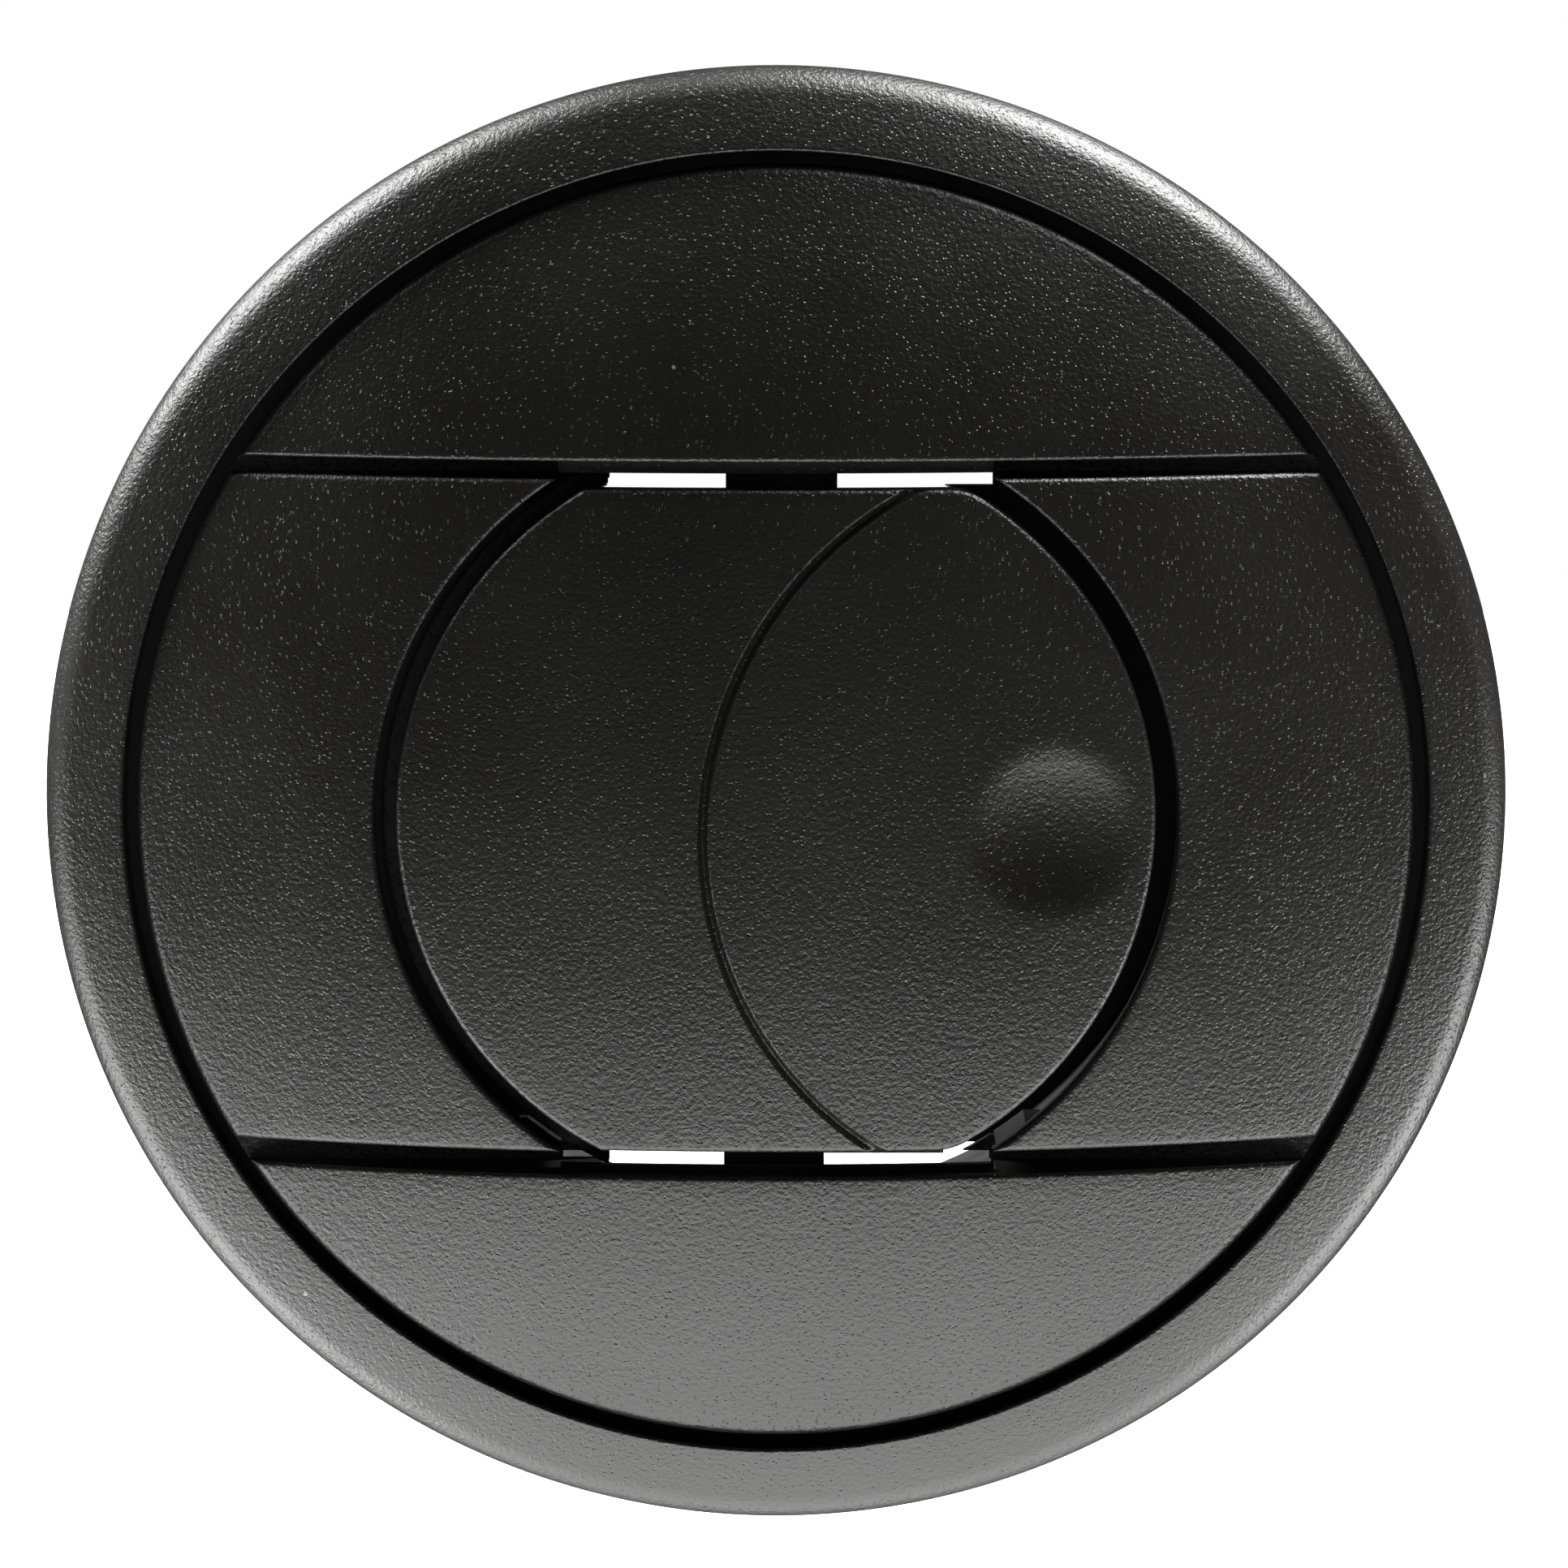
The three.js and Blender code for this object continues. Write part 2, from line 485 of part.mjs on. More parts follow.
// The flap's rear frame: stiffening plate and ribs, and the hub that the pivot pins sit in.
function flapFrame() {
  const half = PLATE_HALF_HEIGHT;
  const plate = ring(0, PLATE_RADIUS, PLATE_BACK, PLATE_FRONT)
    .intersect(block(acrossX, [0, FAR], [-half, half]));
  const hub = pivotCylinder(HUB_RADIUS, -half, half)
    .add(block([-HUB_NECK, HUB_NECK], [PIVOT_RISE, PLATE_FRONT], [-half, half]));
  const ribs = signs.map((sz) => block(
    [-RIB_HALF_LENGTH, RIB_HALF_LENGTH], [RIB_BACK, PLATE_FRONT], RIB_Z.map((z) => sz * z),
  ));
  const bores = signs.map((sz) => pivotCylinder(PIN_RADIUS + GAP, sz * (PIN_START - GAP), sz * (half + 1)));
  const screwHoles = flapScrewPlaces.map((place) => cylinder(place, FLAP_SCREW_HOLE, 0, DOME_APEX));
  return joined(plate, hub, ...ribs).subtract(joined(...bores, ...screwHoles));
}

// Assembly: three groups, one for each body that moves on its own.
function piece(name, geometry, material) {
  const mesh = new THREE.Mesh(geometry, material);
  mesh.name = name;
  return mesh;
}

function fixedPieces() {
  const group = new THREE.Group();
  group.add(
    piece('bezel_ring', surface(bezelRing()), blackGrained()),
    piece('mounting_base', surface(mountingBase()), blackPlain()),
    piece('panel_gasket', surface(panelGasket()), foam()),
    piece('spin_felt_ring', surface(spinFeltRing()), felt()),
  );
  panelScrewPlaces.forEach(([x, z], index) => {
    const geometry = surface(
      screw(PANEL_SCREW_HEAD, PANEL_SCREW_SHANK, PANEL_SCREW_HEAD_DEPTH, PANEL_SCREW_LENGTH),
    );
    const mesh = piece(`panel_screw_${index + 1}`, geometry, zincSteel());
    mesh.position.set(x, -(FLANGE_FRONT - 0.1), z);
    group.add(mesh);
  });
  return group;
}

function turningPieces() {
  const group = new THREE.Group();
  group.add(
    piece('rotor_dome', surface(rotorDome()), blackGrained()),
    piece('rotor_core', surface(rotorCore()), blackPlain()),
    piece('retaining_ring', surface(retainingRing()), naturalNylon()),
    piece('closing_seal', surface(closingSeal()), foam()),
  );
  coreScrewPlaces.forEach(([x, z], index) => {
    const length = CORE_SCREW_TIP - CORE_BACK - GAP;
    const shape = screw(CORE_SCREW_HEAD, CORE_SCREW_SHANK, CORE_SCREW_HEAD_DEPTH, length);
    const geometry = surface(shape);
    const mesh = piece(`core_screw_${index + 1}`, geometry, zincSteel());
    mesh.rotation.x = Math.PI;
    mesh.position.set(x, -(CORE_BACK + 0.05), z);
    group.add(mesh);
  });
  [['upper', 1], ['lower', -1]].forEach(([end, side]) => {
    const mesh = piece(`pivot_bush_${end}`, surface(pivotBush()), blackPlain());
    mesh.rotation.x = side * Math.PI / 2;
    mesh.position.set(0, -PIVOT_RISE, side * BUSH_START);
    group.add(mesh);
  });
  return group;
}

function flapPieces() {
  const group = new THREE.Group();
  group.add(
    piece('flap_face', surface(flapFace()), blackGrained()),
    piece('flap_frame', surface(flapFrame()), blackPlain()),
  );
  flapScrewPlaces.forEach(([x, z], index) => {
    const shape = screw(FLAP_SCREW_HEAD, FLAP_SCREW_SHANK, FLAP_SCREW_HEAD_DEPTH, FLAP_SCREW_LENGTH);
    const mesh = piece(`flap_screw_${index + 1}`, surface(shape), zincSteel());
    mesh.rotation.x = Math.PI;
    mesh.position.set(x, -(PLATE_BACK - FLAP_SCREW_HEAD_DEPTH - GAP), z);
    group.add(mesh);
  });
  [['upper', 1], ['lower', -1]].forEach(([end, side]) => {
    const cylinderShape = new THREE.CylinderGeometry(PIN_RADIUS, PIN_RADIUS, PIN_LENGTH, SMALL_STEPS);
    const pin = piece(`pivot_pin_${end}`, closed(cylinderShape), zincSteel());
    pin.rotation.x = Math.PI / 2;
    pin.position.set(0, -PIVOT_RISE, side * (PIN_START + PIN_LENGTH / 2));
    const washerShape = ring(PIN_RADIUS + GAP, WASHER_RADIUS, 0, WASHER_THICKNESS, SMALL_STEPS);
    const washer = piece(`friction_washer_${end}`, surface(washerShape), rubber());
    washer.rotation.x = side * Math.PI / 2;
    washer.position.set(0, -PIVOT_RISE, side * (BUSH_START - GAP));
    group.add(pin, washer);
  });
  return group;
}

const group = new THREE.Group();
group.add(fixedPieces(), turningPieces(), flapPieces());

export default group;
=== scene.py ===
"""Looks of the rotatable air outlet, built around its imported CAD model.

Lengths below are millimetres, and "rise" is the distance in front of the panel, as in the CAD
source, so a point is (x, -rise, z). They turn into metres once, in finished().
"""

import json
import math

import bmesh
import bpy
from mathutils import Matrix, Vector, kdtree
from mathutils.geometry import delaunay_2d_cdt


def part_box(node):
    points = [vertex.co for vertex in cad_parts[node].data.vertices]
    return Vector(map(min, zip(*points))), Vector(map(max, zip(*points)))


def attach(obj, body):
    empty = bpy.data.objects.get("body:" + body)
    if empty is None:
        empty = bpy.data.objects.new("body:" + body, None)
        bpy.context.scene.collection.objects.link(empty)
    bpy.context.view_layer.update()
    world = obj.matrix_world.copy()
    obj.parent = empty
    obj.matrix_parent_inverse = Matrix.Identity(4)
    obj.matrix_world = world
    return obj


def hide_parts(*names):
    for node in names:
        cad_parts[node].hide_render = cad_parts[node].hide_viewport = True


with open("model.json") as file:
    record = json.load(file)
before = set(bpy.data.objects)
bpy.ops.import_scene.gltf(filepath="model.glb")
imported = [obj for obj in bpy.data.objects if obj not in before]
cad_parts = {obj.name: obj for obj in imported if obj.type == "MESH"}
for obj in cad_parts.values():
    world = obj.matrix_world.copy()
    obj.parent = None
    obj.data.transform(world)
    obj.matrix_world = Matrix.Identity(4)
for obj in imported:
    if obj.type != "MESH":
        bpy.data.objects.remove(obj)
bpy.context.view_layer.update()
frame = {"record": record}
MM = 0.001
TAU = 2 * math.pi


def box_mm(node):
    """Lowest and highest corner of a CAD node as (x, rise, z), in millimetres."""
    low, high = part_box(node)
    return (
        Vector((low.x, -high.y, low.z)) / MM,
        Vector((high.x, -low.y, high.z)) / MM,
    )


# Sizes taken from the frame
BEZEL_RADIUS = box_mm("bezel_ring")[1].x
BEZEL_RISE = box_mm("bezel_ring")[1].y
DOME_RADIUS = box_mm("rotor_dome")[1].x
SKIRT_BACK = box_mm("rotor_dome")[0].y
FLAP_RADIUS = box_mm("flap_face")[1].x
FLAP_TOP = box_mm("flap_face")[1].z
FLAP_RISE = box_mm("flap_face")[1].y
DUCT_END = box_mm("mounting_base")[0].y
FLANGE_RADIUS = box_mm("mounting_base")[1].x
FLANGE_FRONT = box_mm("mounting_base")[1].y
GASKET_RADIUS = box_mm("panel_gasket")[1].x
GASKET_FRONT = box_mm("panel_gasket")[1].y
CORE_FLANGE_RADIUS = box_mm("rotor_core")[1].x
CORE_POST_FRONT = box_mm("rotor_core")[1].y
BARREL_END = box_mm("rotor_core")[0].y
FRAME_HALF_HEIGHT = box_mm("flap_frame")[1].z
PIVOT_RISE = -frame["record"]["behaviour"]["joints"][1]["pos_m"][1] / MM

# Sizes of the visible shape that the boxes don't give
SPHERE_RADIUS = 87.0
FLAP_SINK = 0.15
DOME_APEX = FLAP_RISE + FLAP_SINK
DOME_WALL = 2.2
FLAP_WALL = 2.0
FILLET = 0.35
RIM_FILLET = 0.6
BEZEL_BORE = 40.8
OPENING_RADIUS = 24.85
OPENING_TOP = 21.95
OPENING_BOTTOM = -22.39
LIP_TOP = 21.25
LIP_BOTTOM = -21.89
LIP_HALF_LENGTH = 13.4
LIP_STEPS = {"top_lip": 0.8, "bottom_lip": 1.4}
BAND = 20.9
GROOVE_FLOOR = 6.0
FLAP_BOTTOM = -20.8
FLAP_CORNER_RADIUS = 4.0
REAR_LIP = (3.0, 10.4)
LENS_CENTRE = (19.2, -0.9)
LENS_RADIUS = 23.7
LENS_GROOVE_HALF = 0.38
LENS_GROOVE_DEPTH = 0.4
DIMPLE_CENTRE = (17.2, -0.7)
DIMPLE_RADIUS = 5.1
DIMPLE_DEPTH = 0.95
DIMPLE_REACH = 1.12  # of its radius, where its softened rim runs out
DIMPLE_SOFTNESS = 0.05
CORE_SCREWS = [(sx * 30.5, sz * 12.5) for sx in (1, -1) for sz in (1, -1)]
FLAP_SCREWS = [(9.0, 0.0), (-9.0, 0.0)]
FLAP_SCREW_PILOT = 1.2
PANEL_SCREW_CIRCLE = 36.4
PANEL_SCREWS = [
    (sx * PANEL_SCREW_CIRCLE * math.sqrt(0.5), sz * PANEL_SCREW_CIRCLE * math.sqrt(0.5))
    for sx in (1, -1) for sz in (1, -1)
]
PANEL_SCREW_HOLE = 1.8
CORE_BACK = 3.8
CORE_FRONT = 5.0
BARREL_RADIUS = 30.3
BARREL_BORE = 29.0
RETAINER_GROOVE = (-0.6, 1.2)
RETAINER_FLOOR = 29.65
FELT_GROOVE = (31.4, 33.2)
LEDGE_FRONT = 9.6
LEDGE_END_X = -10.4
BUSH_START = 18.9
PIN_BORE = 1.4
GAP = 0.3  # between pieces that would touch
FAR = 60.0  # past every part of the outlet
SQUARE = ((-1, -1), (1, -1), (1, 1), (-1, 1))


# ---------------------------------------------------------------- node materials


class Nodes:
    """A small wrapper that adds nodes to a material and links them by name."""

    def __init__(self, name):
        self.material = bpy.data.materials.new(name)
        self.material.use_nodes = True
        self.tree = self.material.node_tree
        self.shader = self.tree.nodes["Principled BSDF"]

    def add(self, kind, inputs=None, **settings):
        node = self.tree.nodes.new(kind)
        for key, value in settings.items():
            setattr(node, key, value)
        for key, value in (inputs or {}).items():
            self.put(node.inputs[key], value)
        return node

    def put(self, socket, value):
        if isinstance(value, bpy.types.NodeSocket):
            self.tree.links.new(value, socket)
        else:
            socket.default_value = value

    def coordinates(self):
        return self.add("ShaderNodeTexCoord").outputs["Object"]

    def noise(self, per_mm, detail=2.0, roughness=0.5):
        node = self.add("ShaderNodeTexNoise", {
            "Vector": self.coordinates(),
            "Scale": per_mm / MM,
            "Detail": detail,
            "Roughness": roughness,
        })
        return node.outputs["Fac"]

    def cells(self, per_mm):
        """Distance to the nearest of many scattered points."""
        node = self.add("ShaderNodeTexVoronoi", {
            "Vector": self.coordinates(),
            "Scale": per_mm / MM,
            "Randomness": 1.0,
        })
        return node.outputs["Distance"]

    def ramp(self, value, low, high, low_value=0.0, high_value=1.0):
        node = self.add("ShaderNodeMapRange", {
            "Value": value,
            "From Min": low,
            "From Max": high,
            "To Min": low_value,
            "To Max": high_value,
        }, interpolation_type="SMOOTHSTEP")
        return node.outputs["Result"]

    def math(self, operation, first, second):
        return self.add("ShaderNodeMath", {0: first, 1: second}, operation=operation).outputs[0]

    def mix_colour(self, factor, first, second):
        node = self.add("ShaderNodeMix", data_type="RGBA")
        self.put(node.inputs["Factor"], factor)
        self.put(node.inputs[6], first)
        self.put(node.inputs[7], second)
        return node.outputs[2]

    def bump(self, height, depth_mm, strength=1.0):
        node = self.add("ShaderNodeBump", {
            "Height": height,
            "Distance": depth_mm * MM,
            "Strength": strength,
        })
        return node.outputs["Normal"]

    def finish(self, **values):
        """Sets the shader's inputs, named in short here, and gives back the material."""
        names = {"colour": "Base Color", "ior": "IOR"}
        for key, value in values.items():
            self.put(self.shader.inputs[names.get(key, key.title())], value)
        return self.material


def grey(value, tint=(1.0, 1.0, 1.0)):
    return tuple(value * t for t in tint) + (1.0,)


def grained_black():
    """Moulded ABS with a spark-eroded grain: soft mottling, sparse pits and peaks, a few fibres, and
    painted shade that darkens the pits' colour.
    """
    n = Nodes("grained_black")
    soft = n.noise(3.4, detail=2.0, roughness=0.55)
    fine = n.noise(8.0, detail=1.0)
    patchy = n.ramp(n.noise(0.7, detail=2.0), 0.4, 0.62, 0.15, 1.0)
    peaks = n.math("MULTIPLY", n.ramp(n.cells(1.7), 0.2, 0.05), patchy)
    pits = n.ramp(n.cells(2.5), 0.27, 0.09)
    grain = n.math("ADD", n.math("MULTIPLY", soft, 1.5), n.math("MULTIPLY", fine, 0.2))
    grain = n.math("ADD", grain, n.math("MULTIPLY", peaks, 0.8))
    grain = n.math("SUBTRACT", grain, n.math("MULTIPLY", pits, 0.6))
    cloud = n.noise(0.06, detail=3.0)
    tint = (1.09, 1.0, 0.92)
    plastic = n.mix_colour(cloud, grey(0.0165, tint), grey(0.0235, tint))
    # painted shade: the colour in the grain's pits is darkened towards near black
    pit_shaded_plastic = n.mix_colour(n.math("MULTIPLY", pits, 0.8), plastic, grey(0.004))
    dust = n.ramp(n.cells(0.2), 0.04, 0.024)
    fibres = n.math("MULTIPLY", dust, n.ramp(n.noise(1.7, detail=1.0), 0.5, 0.6))
    sheen = n.math("ADD", cloud, n.math("MULTIPLY", soft, 0.4))
    return n.finish(
        colour=n.mix_colour(fibres, pit_shaded_plastic, grey(0.7)),
        roughness=n.ramp(sheen, 0.3, 1.1, 0.31, 0.42),
        normal=n.bump(grain, 0.045),
        ior=1.9,
    )


def plain_black():
    """Mouldings behind the front: smoother, with faint flow marks."""
    n = Nodes("plain_black")
    flow = n.noise(0.22, detail=4.0, roughness=0.6)
    fine = n.noise(4.0, detail=2.0)
    relief = n.math("ADD", flow, n.math("MULTIPLY", fine, 0.2))
    return n.finish(
        colour=n.mix_colour(flow, grey(0.045), grey(0.065)),
        roughness=n.ramp(flow, 0.3, 0.7, 0.34, 0.48),
        normal=n.bump(relief, 0.05, 0.5),
        ior=1.5,
    )


def natural_nylon():
    n = Nodes("natural_nylon")
    flow = n.noise(0.5, detail=4.0)
    dark, pale = grey(0.62, (1.0, 0.96, 0.84)), grey(0.74, (1.0, 0.97, 0.88))
    return n.finish(
        colour=n.mix_colour(flow, dark, pale),
        roughness=n.ramp(flow, 0.3, 0.7, 0.35, 0.5),
        normal=n.bump(n.noise(3.0), 0.03, 0.5),
        ior=1.53,
    )


def foam():
    n = Nodes("closed_cell_foam")
    pores = n.cells(2.6)
    # painted shade: the colour darkens towards the middle of each pore, where the bump sinks in
    shade = n.ramp(pores, 0.1, 0.6)
    return n.finish(
        colour=n.mix_colour(shade, grey(0.014), grey(0.036)),
        roughness=0.95,
        normal=n.bump(pores, 0.05, 0.8),
    )


def felt():
    n = Nodes("pressed_felt")
    fibres = n.noise(4.0, detail=6.0, roughness=0.75)
    return n.finish(
        colour=n.mix_colour(fibres, grey(0.06), grey(0.2)),
        roughness=1.0,
        normal=n.bump(fibres, 0.2),
    )


def soft_rubber():
    n = Nodes("soft_rubber")
    bloom = n.noise(0.9, detail=4.0)
    return n.finish(
        colour=n.mix_colour(bloom, grey(0.025), grey(0.055)),
        roughness=0.75,
        normal=n.bump(n.noise(6.0), 0.02, 0.5),
    )


def zinc_steel():
    """Zinc plate: patchy sheen and fine drawing marks."""
    n = Nodes("zinc_steel")
    patches = n.noise(0.8, detail=4.0)
    marks = n.noise(9.0, detail=2.0)
    cool, warm = grey(0.3, (0.97, 1.0, 1.03)), grey(0.42, (1.0, 0.99, 0.95))
    return n.finish(
        colour=n.mix_colour(patches, cool, warm),
        roughness=n.ramp(patches, 0.3, 0.7, 0.42, 0.56),
        normal=n.bump(marks, 0.012, 0.6),
        metallic=1.0,
    )


MATERIALS = {
    "grained_black": grained_black(),
    "plain_black": plain_black(),
    "natural_nylon": natural_nylon(),
    "foam": foam(),
    "felt": felt(),
    "soft_washer": soft_rubber(),
    "zinc_steel": zinc_steel(),
}
SLOT_OF_NODE = {row["node"]: row["material_slot"] for row in frame["record"]["subparts"]}
BODY_OF_NODE = {
    node: body for body, nodes in frame["record"]["behaviour"]["bodies"].items() for node in nodes
}

# ---------------------------------------------------------------- mesh helpers


def finished(piece, node, angle=34.0):
    """Turns a loose solid in millimetres into the piece in metres that stands for a CAD node."""
    slot = SLOT_OF_NODE[node]
    piece.name = piece.data.name = f"{node}_shape"
    piece.data.transform(Matrix.Scale(MM, 4))
    piece.data.shade_smooth()
    piece.data.set_sharp_from_angle(angle=math.radians(angle))
    piece.data.materials.clear()
    piece.data.materials.append(MATERIALS[slot])
    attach(piece, BODY_OF_NODE[node])
    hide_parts(node)


def solid(points, faces):
    """A loose solid from (x, rise, z) points; it's in millimetres until finished() takes it."""
    mesh = bpy.data.meshes.new("loose")
    mesh.from_pydata([(x, -rise, z) for x, rise, z in points], [], faces)
    work = bmesh.new()
    work.from_mesh(mesh)
    bmesh.ops.remove_doubles(work, verts=work.verts, dist=1e-4)
    bmesh.ops.dissolve_degenerate(work, dist=1e-5, edges=work.edges)
    bmesh.ops.recalc_face_normals(work, faces=work.faces)
    work.to_mesh(mesh)
    work.free()
    loose = bpy.data.objects.new("loose", mesh)
    bpy.context.scene.collection.objects.link(loose)
    return loose


def combined(operation, first, *others):
    """The union, difference or intersection of loose solids, which are used up."""
    for other in others:
        step = first.modifiers.new("step", "BOOLEAN")
        step.operation = operation
        step.solver = "MANIFOLD"
        step.object = other
    graph = bpy.context.evaluated_depsgraph_get()
    mesh = bpy.data.meshes.new_from_object(first.evaluated_get(graph))
    first.modifiers.clear()
    first.data = mesh
    for other in others:
        bpy.data.objects.remove(other)
    return first


def join(*solids):
    return combined("UNION", *solids)


def cut(first, *tools):
    return combined("DIFFERENCE", first, *tools)


def common(first, *others):
    return combined("INTERSECT", first, *others)


def turned(corners):
    """A solid turned about the outlet's axis from (radius, rise, fillet) corners."""
    return solid(*lathe(rounded(corners, steps=4), steps=192))


def ring(inner, outer, back, front, fillet=0.0):
    corners = [(inner, back), (outer, back), (outer, front), (inner, front)]
    return turned([corner + (fillet,) for corner in corners])


def rod(place, radius, back, front, front_radius=None):
    """A cylinder or cone parallel to the outlet's axis."""
    steps = 40
    radii = (radius, radius if front_radius is None else front_radius)
    points, faces = [], []
    for rise, r in zip((back, front), radii):
        for i in range(steps):
            turn = TAU * i / steps
            points.append((place[0] + r * math.cos(turn), rise, place[1] + r * math.sin(turn)))
    for i in range(steps):
        n = (i + 1) % steps
        faces.append((i, n, steps + n, steps + i))
    faces += [tuple(range(steps)), tuple(range(steps, 2 * steps))]
    return solid(points, faces)


def slab(xs, rises, zs, fillet=0.0):
    """A box between two values of x, rise and z, with rounded edges where a fillet is given."""
    points = [(x, rise, z) for x in xs for rise in rises for z in zs]
    faces = [(0, 1, 3, 2), (4, 6, 7, 5), (0, 4, 5, 1), (2, 3, 7, 6), (0, 2, 6, 4), (1, 5, 7, 3)]
    box = solid(points, faces)
    if fillet > 0:
        work = bmesh.new()
        work.from_mesh(box.data)
        edges = list(work.edges)
        bmesh.ops.bevel(work, geom=edges, offset=fillet, segments=3, profile=0.5, affect="EDGES")
        work.to_mesh(box.data)
        work.free()
    return box


def pivot_turned(corners, steps=48):
    """A solid turned about the flap's pivot from (radius, z, fillet) corners."""
    points, faces = lathe(rounded(corners, steps=3), steps)
    return solid([(x, PIVOT_RISE + z, along) for x, along, z in points], faces)


def pivot_rod(radius, z0, z1, steps=48):
    return pivot_turned([(0, z0, 0), (radius, z0, 0), (radius, z1, 0), (0, z1, 0)], steps)


def under_sphere(depth, radius, back):
    """Everything under a sphere that lies at a depth below the dome's outside."""
    steps = 24
    radii = [radius * (1 - i / steps) for i in range(steps + 1)]
    arc = [(r, sphere_rise(r, depth)) for r in radii]
    return solid(*lathe([(0, back), (radius, back)] + arc, steps=96))


def rounded(corners, steps):
    """A closed profile with round corners: each corner is (radius, rise, fillet)."""
    count = len(corners)
    profile = []
    for i, (r, h, fillet) in enumerate(corners):
        here = Vector((r, h))
        before = Vector(corners[i - 1][:2]) - here
        after = Vector(corners[(i + 1) % count][:2]) - here
        if fillet <= 0:
            profile.append(tuple(here))
            continue
        half = before.angle(after) / 2
        reach = min(fillet / math.tan(half), before.length * 0.49, after.length * 0.49)
        radius = reach * math.tan(half)
        inward = (before.normalized() + after.normalized()).normalized()
        centre = here + inward * (radius / math.sin(half))
        start = here + before.normalized() * reach - centre
        end = here + after.normalized() * reach - centre
        sweep = start.angle_signed(end)
        for k in range(steps + 1):
            turn = Matrix.Rotation(-sweep * k / steps, 2)
            profile.append(tuple(centre + turn @ start))
    return profile


def lathe(profile, steps):
    """Points and faces of a closed profile turned about the outlet's axis."""
    points, faces = [], []
    rows = len(profile)
    for i in range(steps):
        c, s = math.cos(TAU * i / steps), math.sin(TAU * i / steps)
        points += [(r * c, h, r * s) for r, h in profile]
    for i in range(steps):
        a, b = i * rows, (i + 1) % steps * rows
        for k in range(rows):
            n = (k + 1) % rows
            faces.append((a + k, a + n, b + n, b + k))
    return points, faces


def circle(centre, radius, step=0.8, start=0.0, end=TAU):
    """Points of an arc; a whole circle closes on itself."""
    count = max(12, round(abs(end - start) * radius / step))
    return [
        (centre[0] + radius * math.cos(start + (end - start) * i / count),
         centre[1] + radius * math.sin(start + (end - start) * i / count))
        for i in range(count + 1)
    ]


def line(start, end, step=1.2):
    start, end = Vector(start), Vector(end)
    count = max(1, round((end - start).length / step))
    return [tuple(start.lerp(end, i / count)) for i in range(count + 1)]


def fillet_steps(radius=FILLET, count=6):
    """Distances from an edge at which its fillet needs a row of points."""
    return [radius * (1 - math.cos(math.pi / 2 * k / count)) for k in range(count + 1)]


def fillet_drop(distance, radius=FILLET):
    if distance >= radius:
        return 0.0
    return radius - math.sqrt(max(0.0, radius ** 2 - (radius - max(distance, 0.0)) ** 2))


def two_sided(curves, region, front, back, reach, grid=1.3):
    """A closed body whose front and back are heights over the (x, z) plane.

    curves are rows of points that the mesh must follow. region(x, z) names the patch that a point
    is in, or None outside the body. front and back give the rise of a patch at a point. Where two
    patches meet at different rises, an upright wall joins them, or closes each of them where one
    lies wholly in front of the other.
    """
    points, edges = [], []
    for curve in curves:
        first = len(points)
        points += [Vector(p) for p in curve]
        edges += [(first + i, first + i + 1) for i in range(len(curve) - 1)]
    near = kdtree.KDTree(len(points))
    for i, p in enumerate(points):
        near.insert((p.x, p.y, 0), i)
    near.balance()
    clearance = grid * 0.55
    rows = int(reach / grid)
    for j in range(-rows, rows + 1):
        for i in range(-rows, rows + 1):
            p = Vector(((i + 0.5 * (j % 2)) * grid, j * grid * math.sqrt(0.75)))
            if near.find((p.x, p.y, 0))[2] > clearance:
                points.append(p)
    flat, _, triangles, *_ = delaunay_2d_cdt(points, edges, [], 0, 1e-5)

    patch = {}
    for t in triangles:
        middle = (flat[t[0]] + flat[t[1]] + flat[t[2]]) / 3
        name = region(middle.x, middle.y)
        if name is not None:
            patch[tuple(t)] = name
    rises = {}
    for t, name in patch.items():
        for i in t:
            rises.setdefault(i, {})[name] = (
                round(back(name, flat[i].x, flat[i].y), 5),
                round(front(name, flat[i].x, flat[i].y), 5),
            )
    made, body_points, faces = {}, [], []

    def vertex(i, rise):
        if (i, rise) not in made:
            made[(i, rise)] = len(body_points)
            body_points.append((flat[i].x, rise, flat[i].y))
        return made[(i, rise)]

    def upright(i, low, high):
        """Vertices at a point from one rise to another, with those that other walls stop at."""
        levels = {r for pair in rises[i].values() for r in pair}
        between = sorted(r for r in levels if min(low, high) < r < max(low, high))
        if low > high:
            between.reverse()
        return [vertex(i, r) for r in [low, *between, high]]

    sides = {}
    for t, name in patch.items():
        faces.append([vertex(i, rises[i][name][1]) for i in t])
        faces.append([vertex(i, rises[i][name][0]) for i in reversed(t)])
        for a, b in zip(t, t[1:] + t[:1]):
            sides.setdefault(frozenset((a, b)), []).append(name)
    for edge, names in sides.items():
        a, b = edge
        if len(names) == 1:
            spans = [(rises[a][names[0]], rises[b][names[0]])]
        elif names[0] != names[1]:
            one, two = names
            apart = all(
                rises[i][one][0] > rises[i][two][1] or rises[i][two][0] > rises[i][one][1]
                for i in edge
            )
            if apart:
                spans = [(rises[a][name], rises[b][name]) for name in names]
            else:
                spans = [
                    ((rises[a][one][k], rises[a][two][k]), (rises[b][one][k], rises[b][two][k]))
                    for k in (0, 1)
                ]
        else:
            spans = []
        for (a0, a1), (b0, b1) in spans:
            wall = upright(a, a0, a1) + upright(b, b1, b0)
            wall = [v for i, v in enumerate(wall) if v != wall[i - 1]]
            if len(set(wall)) > 2:
                faces.append(wall)
    return body_points, faces


def sphere_rise(radius, depth=0.0):
    return math.sqrt((SPHERE_RADIUS - depth) ** 2 - radius ** 2) - (SPHERE_RADIUS - DOME_APEX)


# ---------------------------------------------------------------- visible pieces


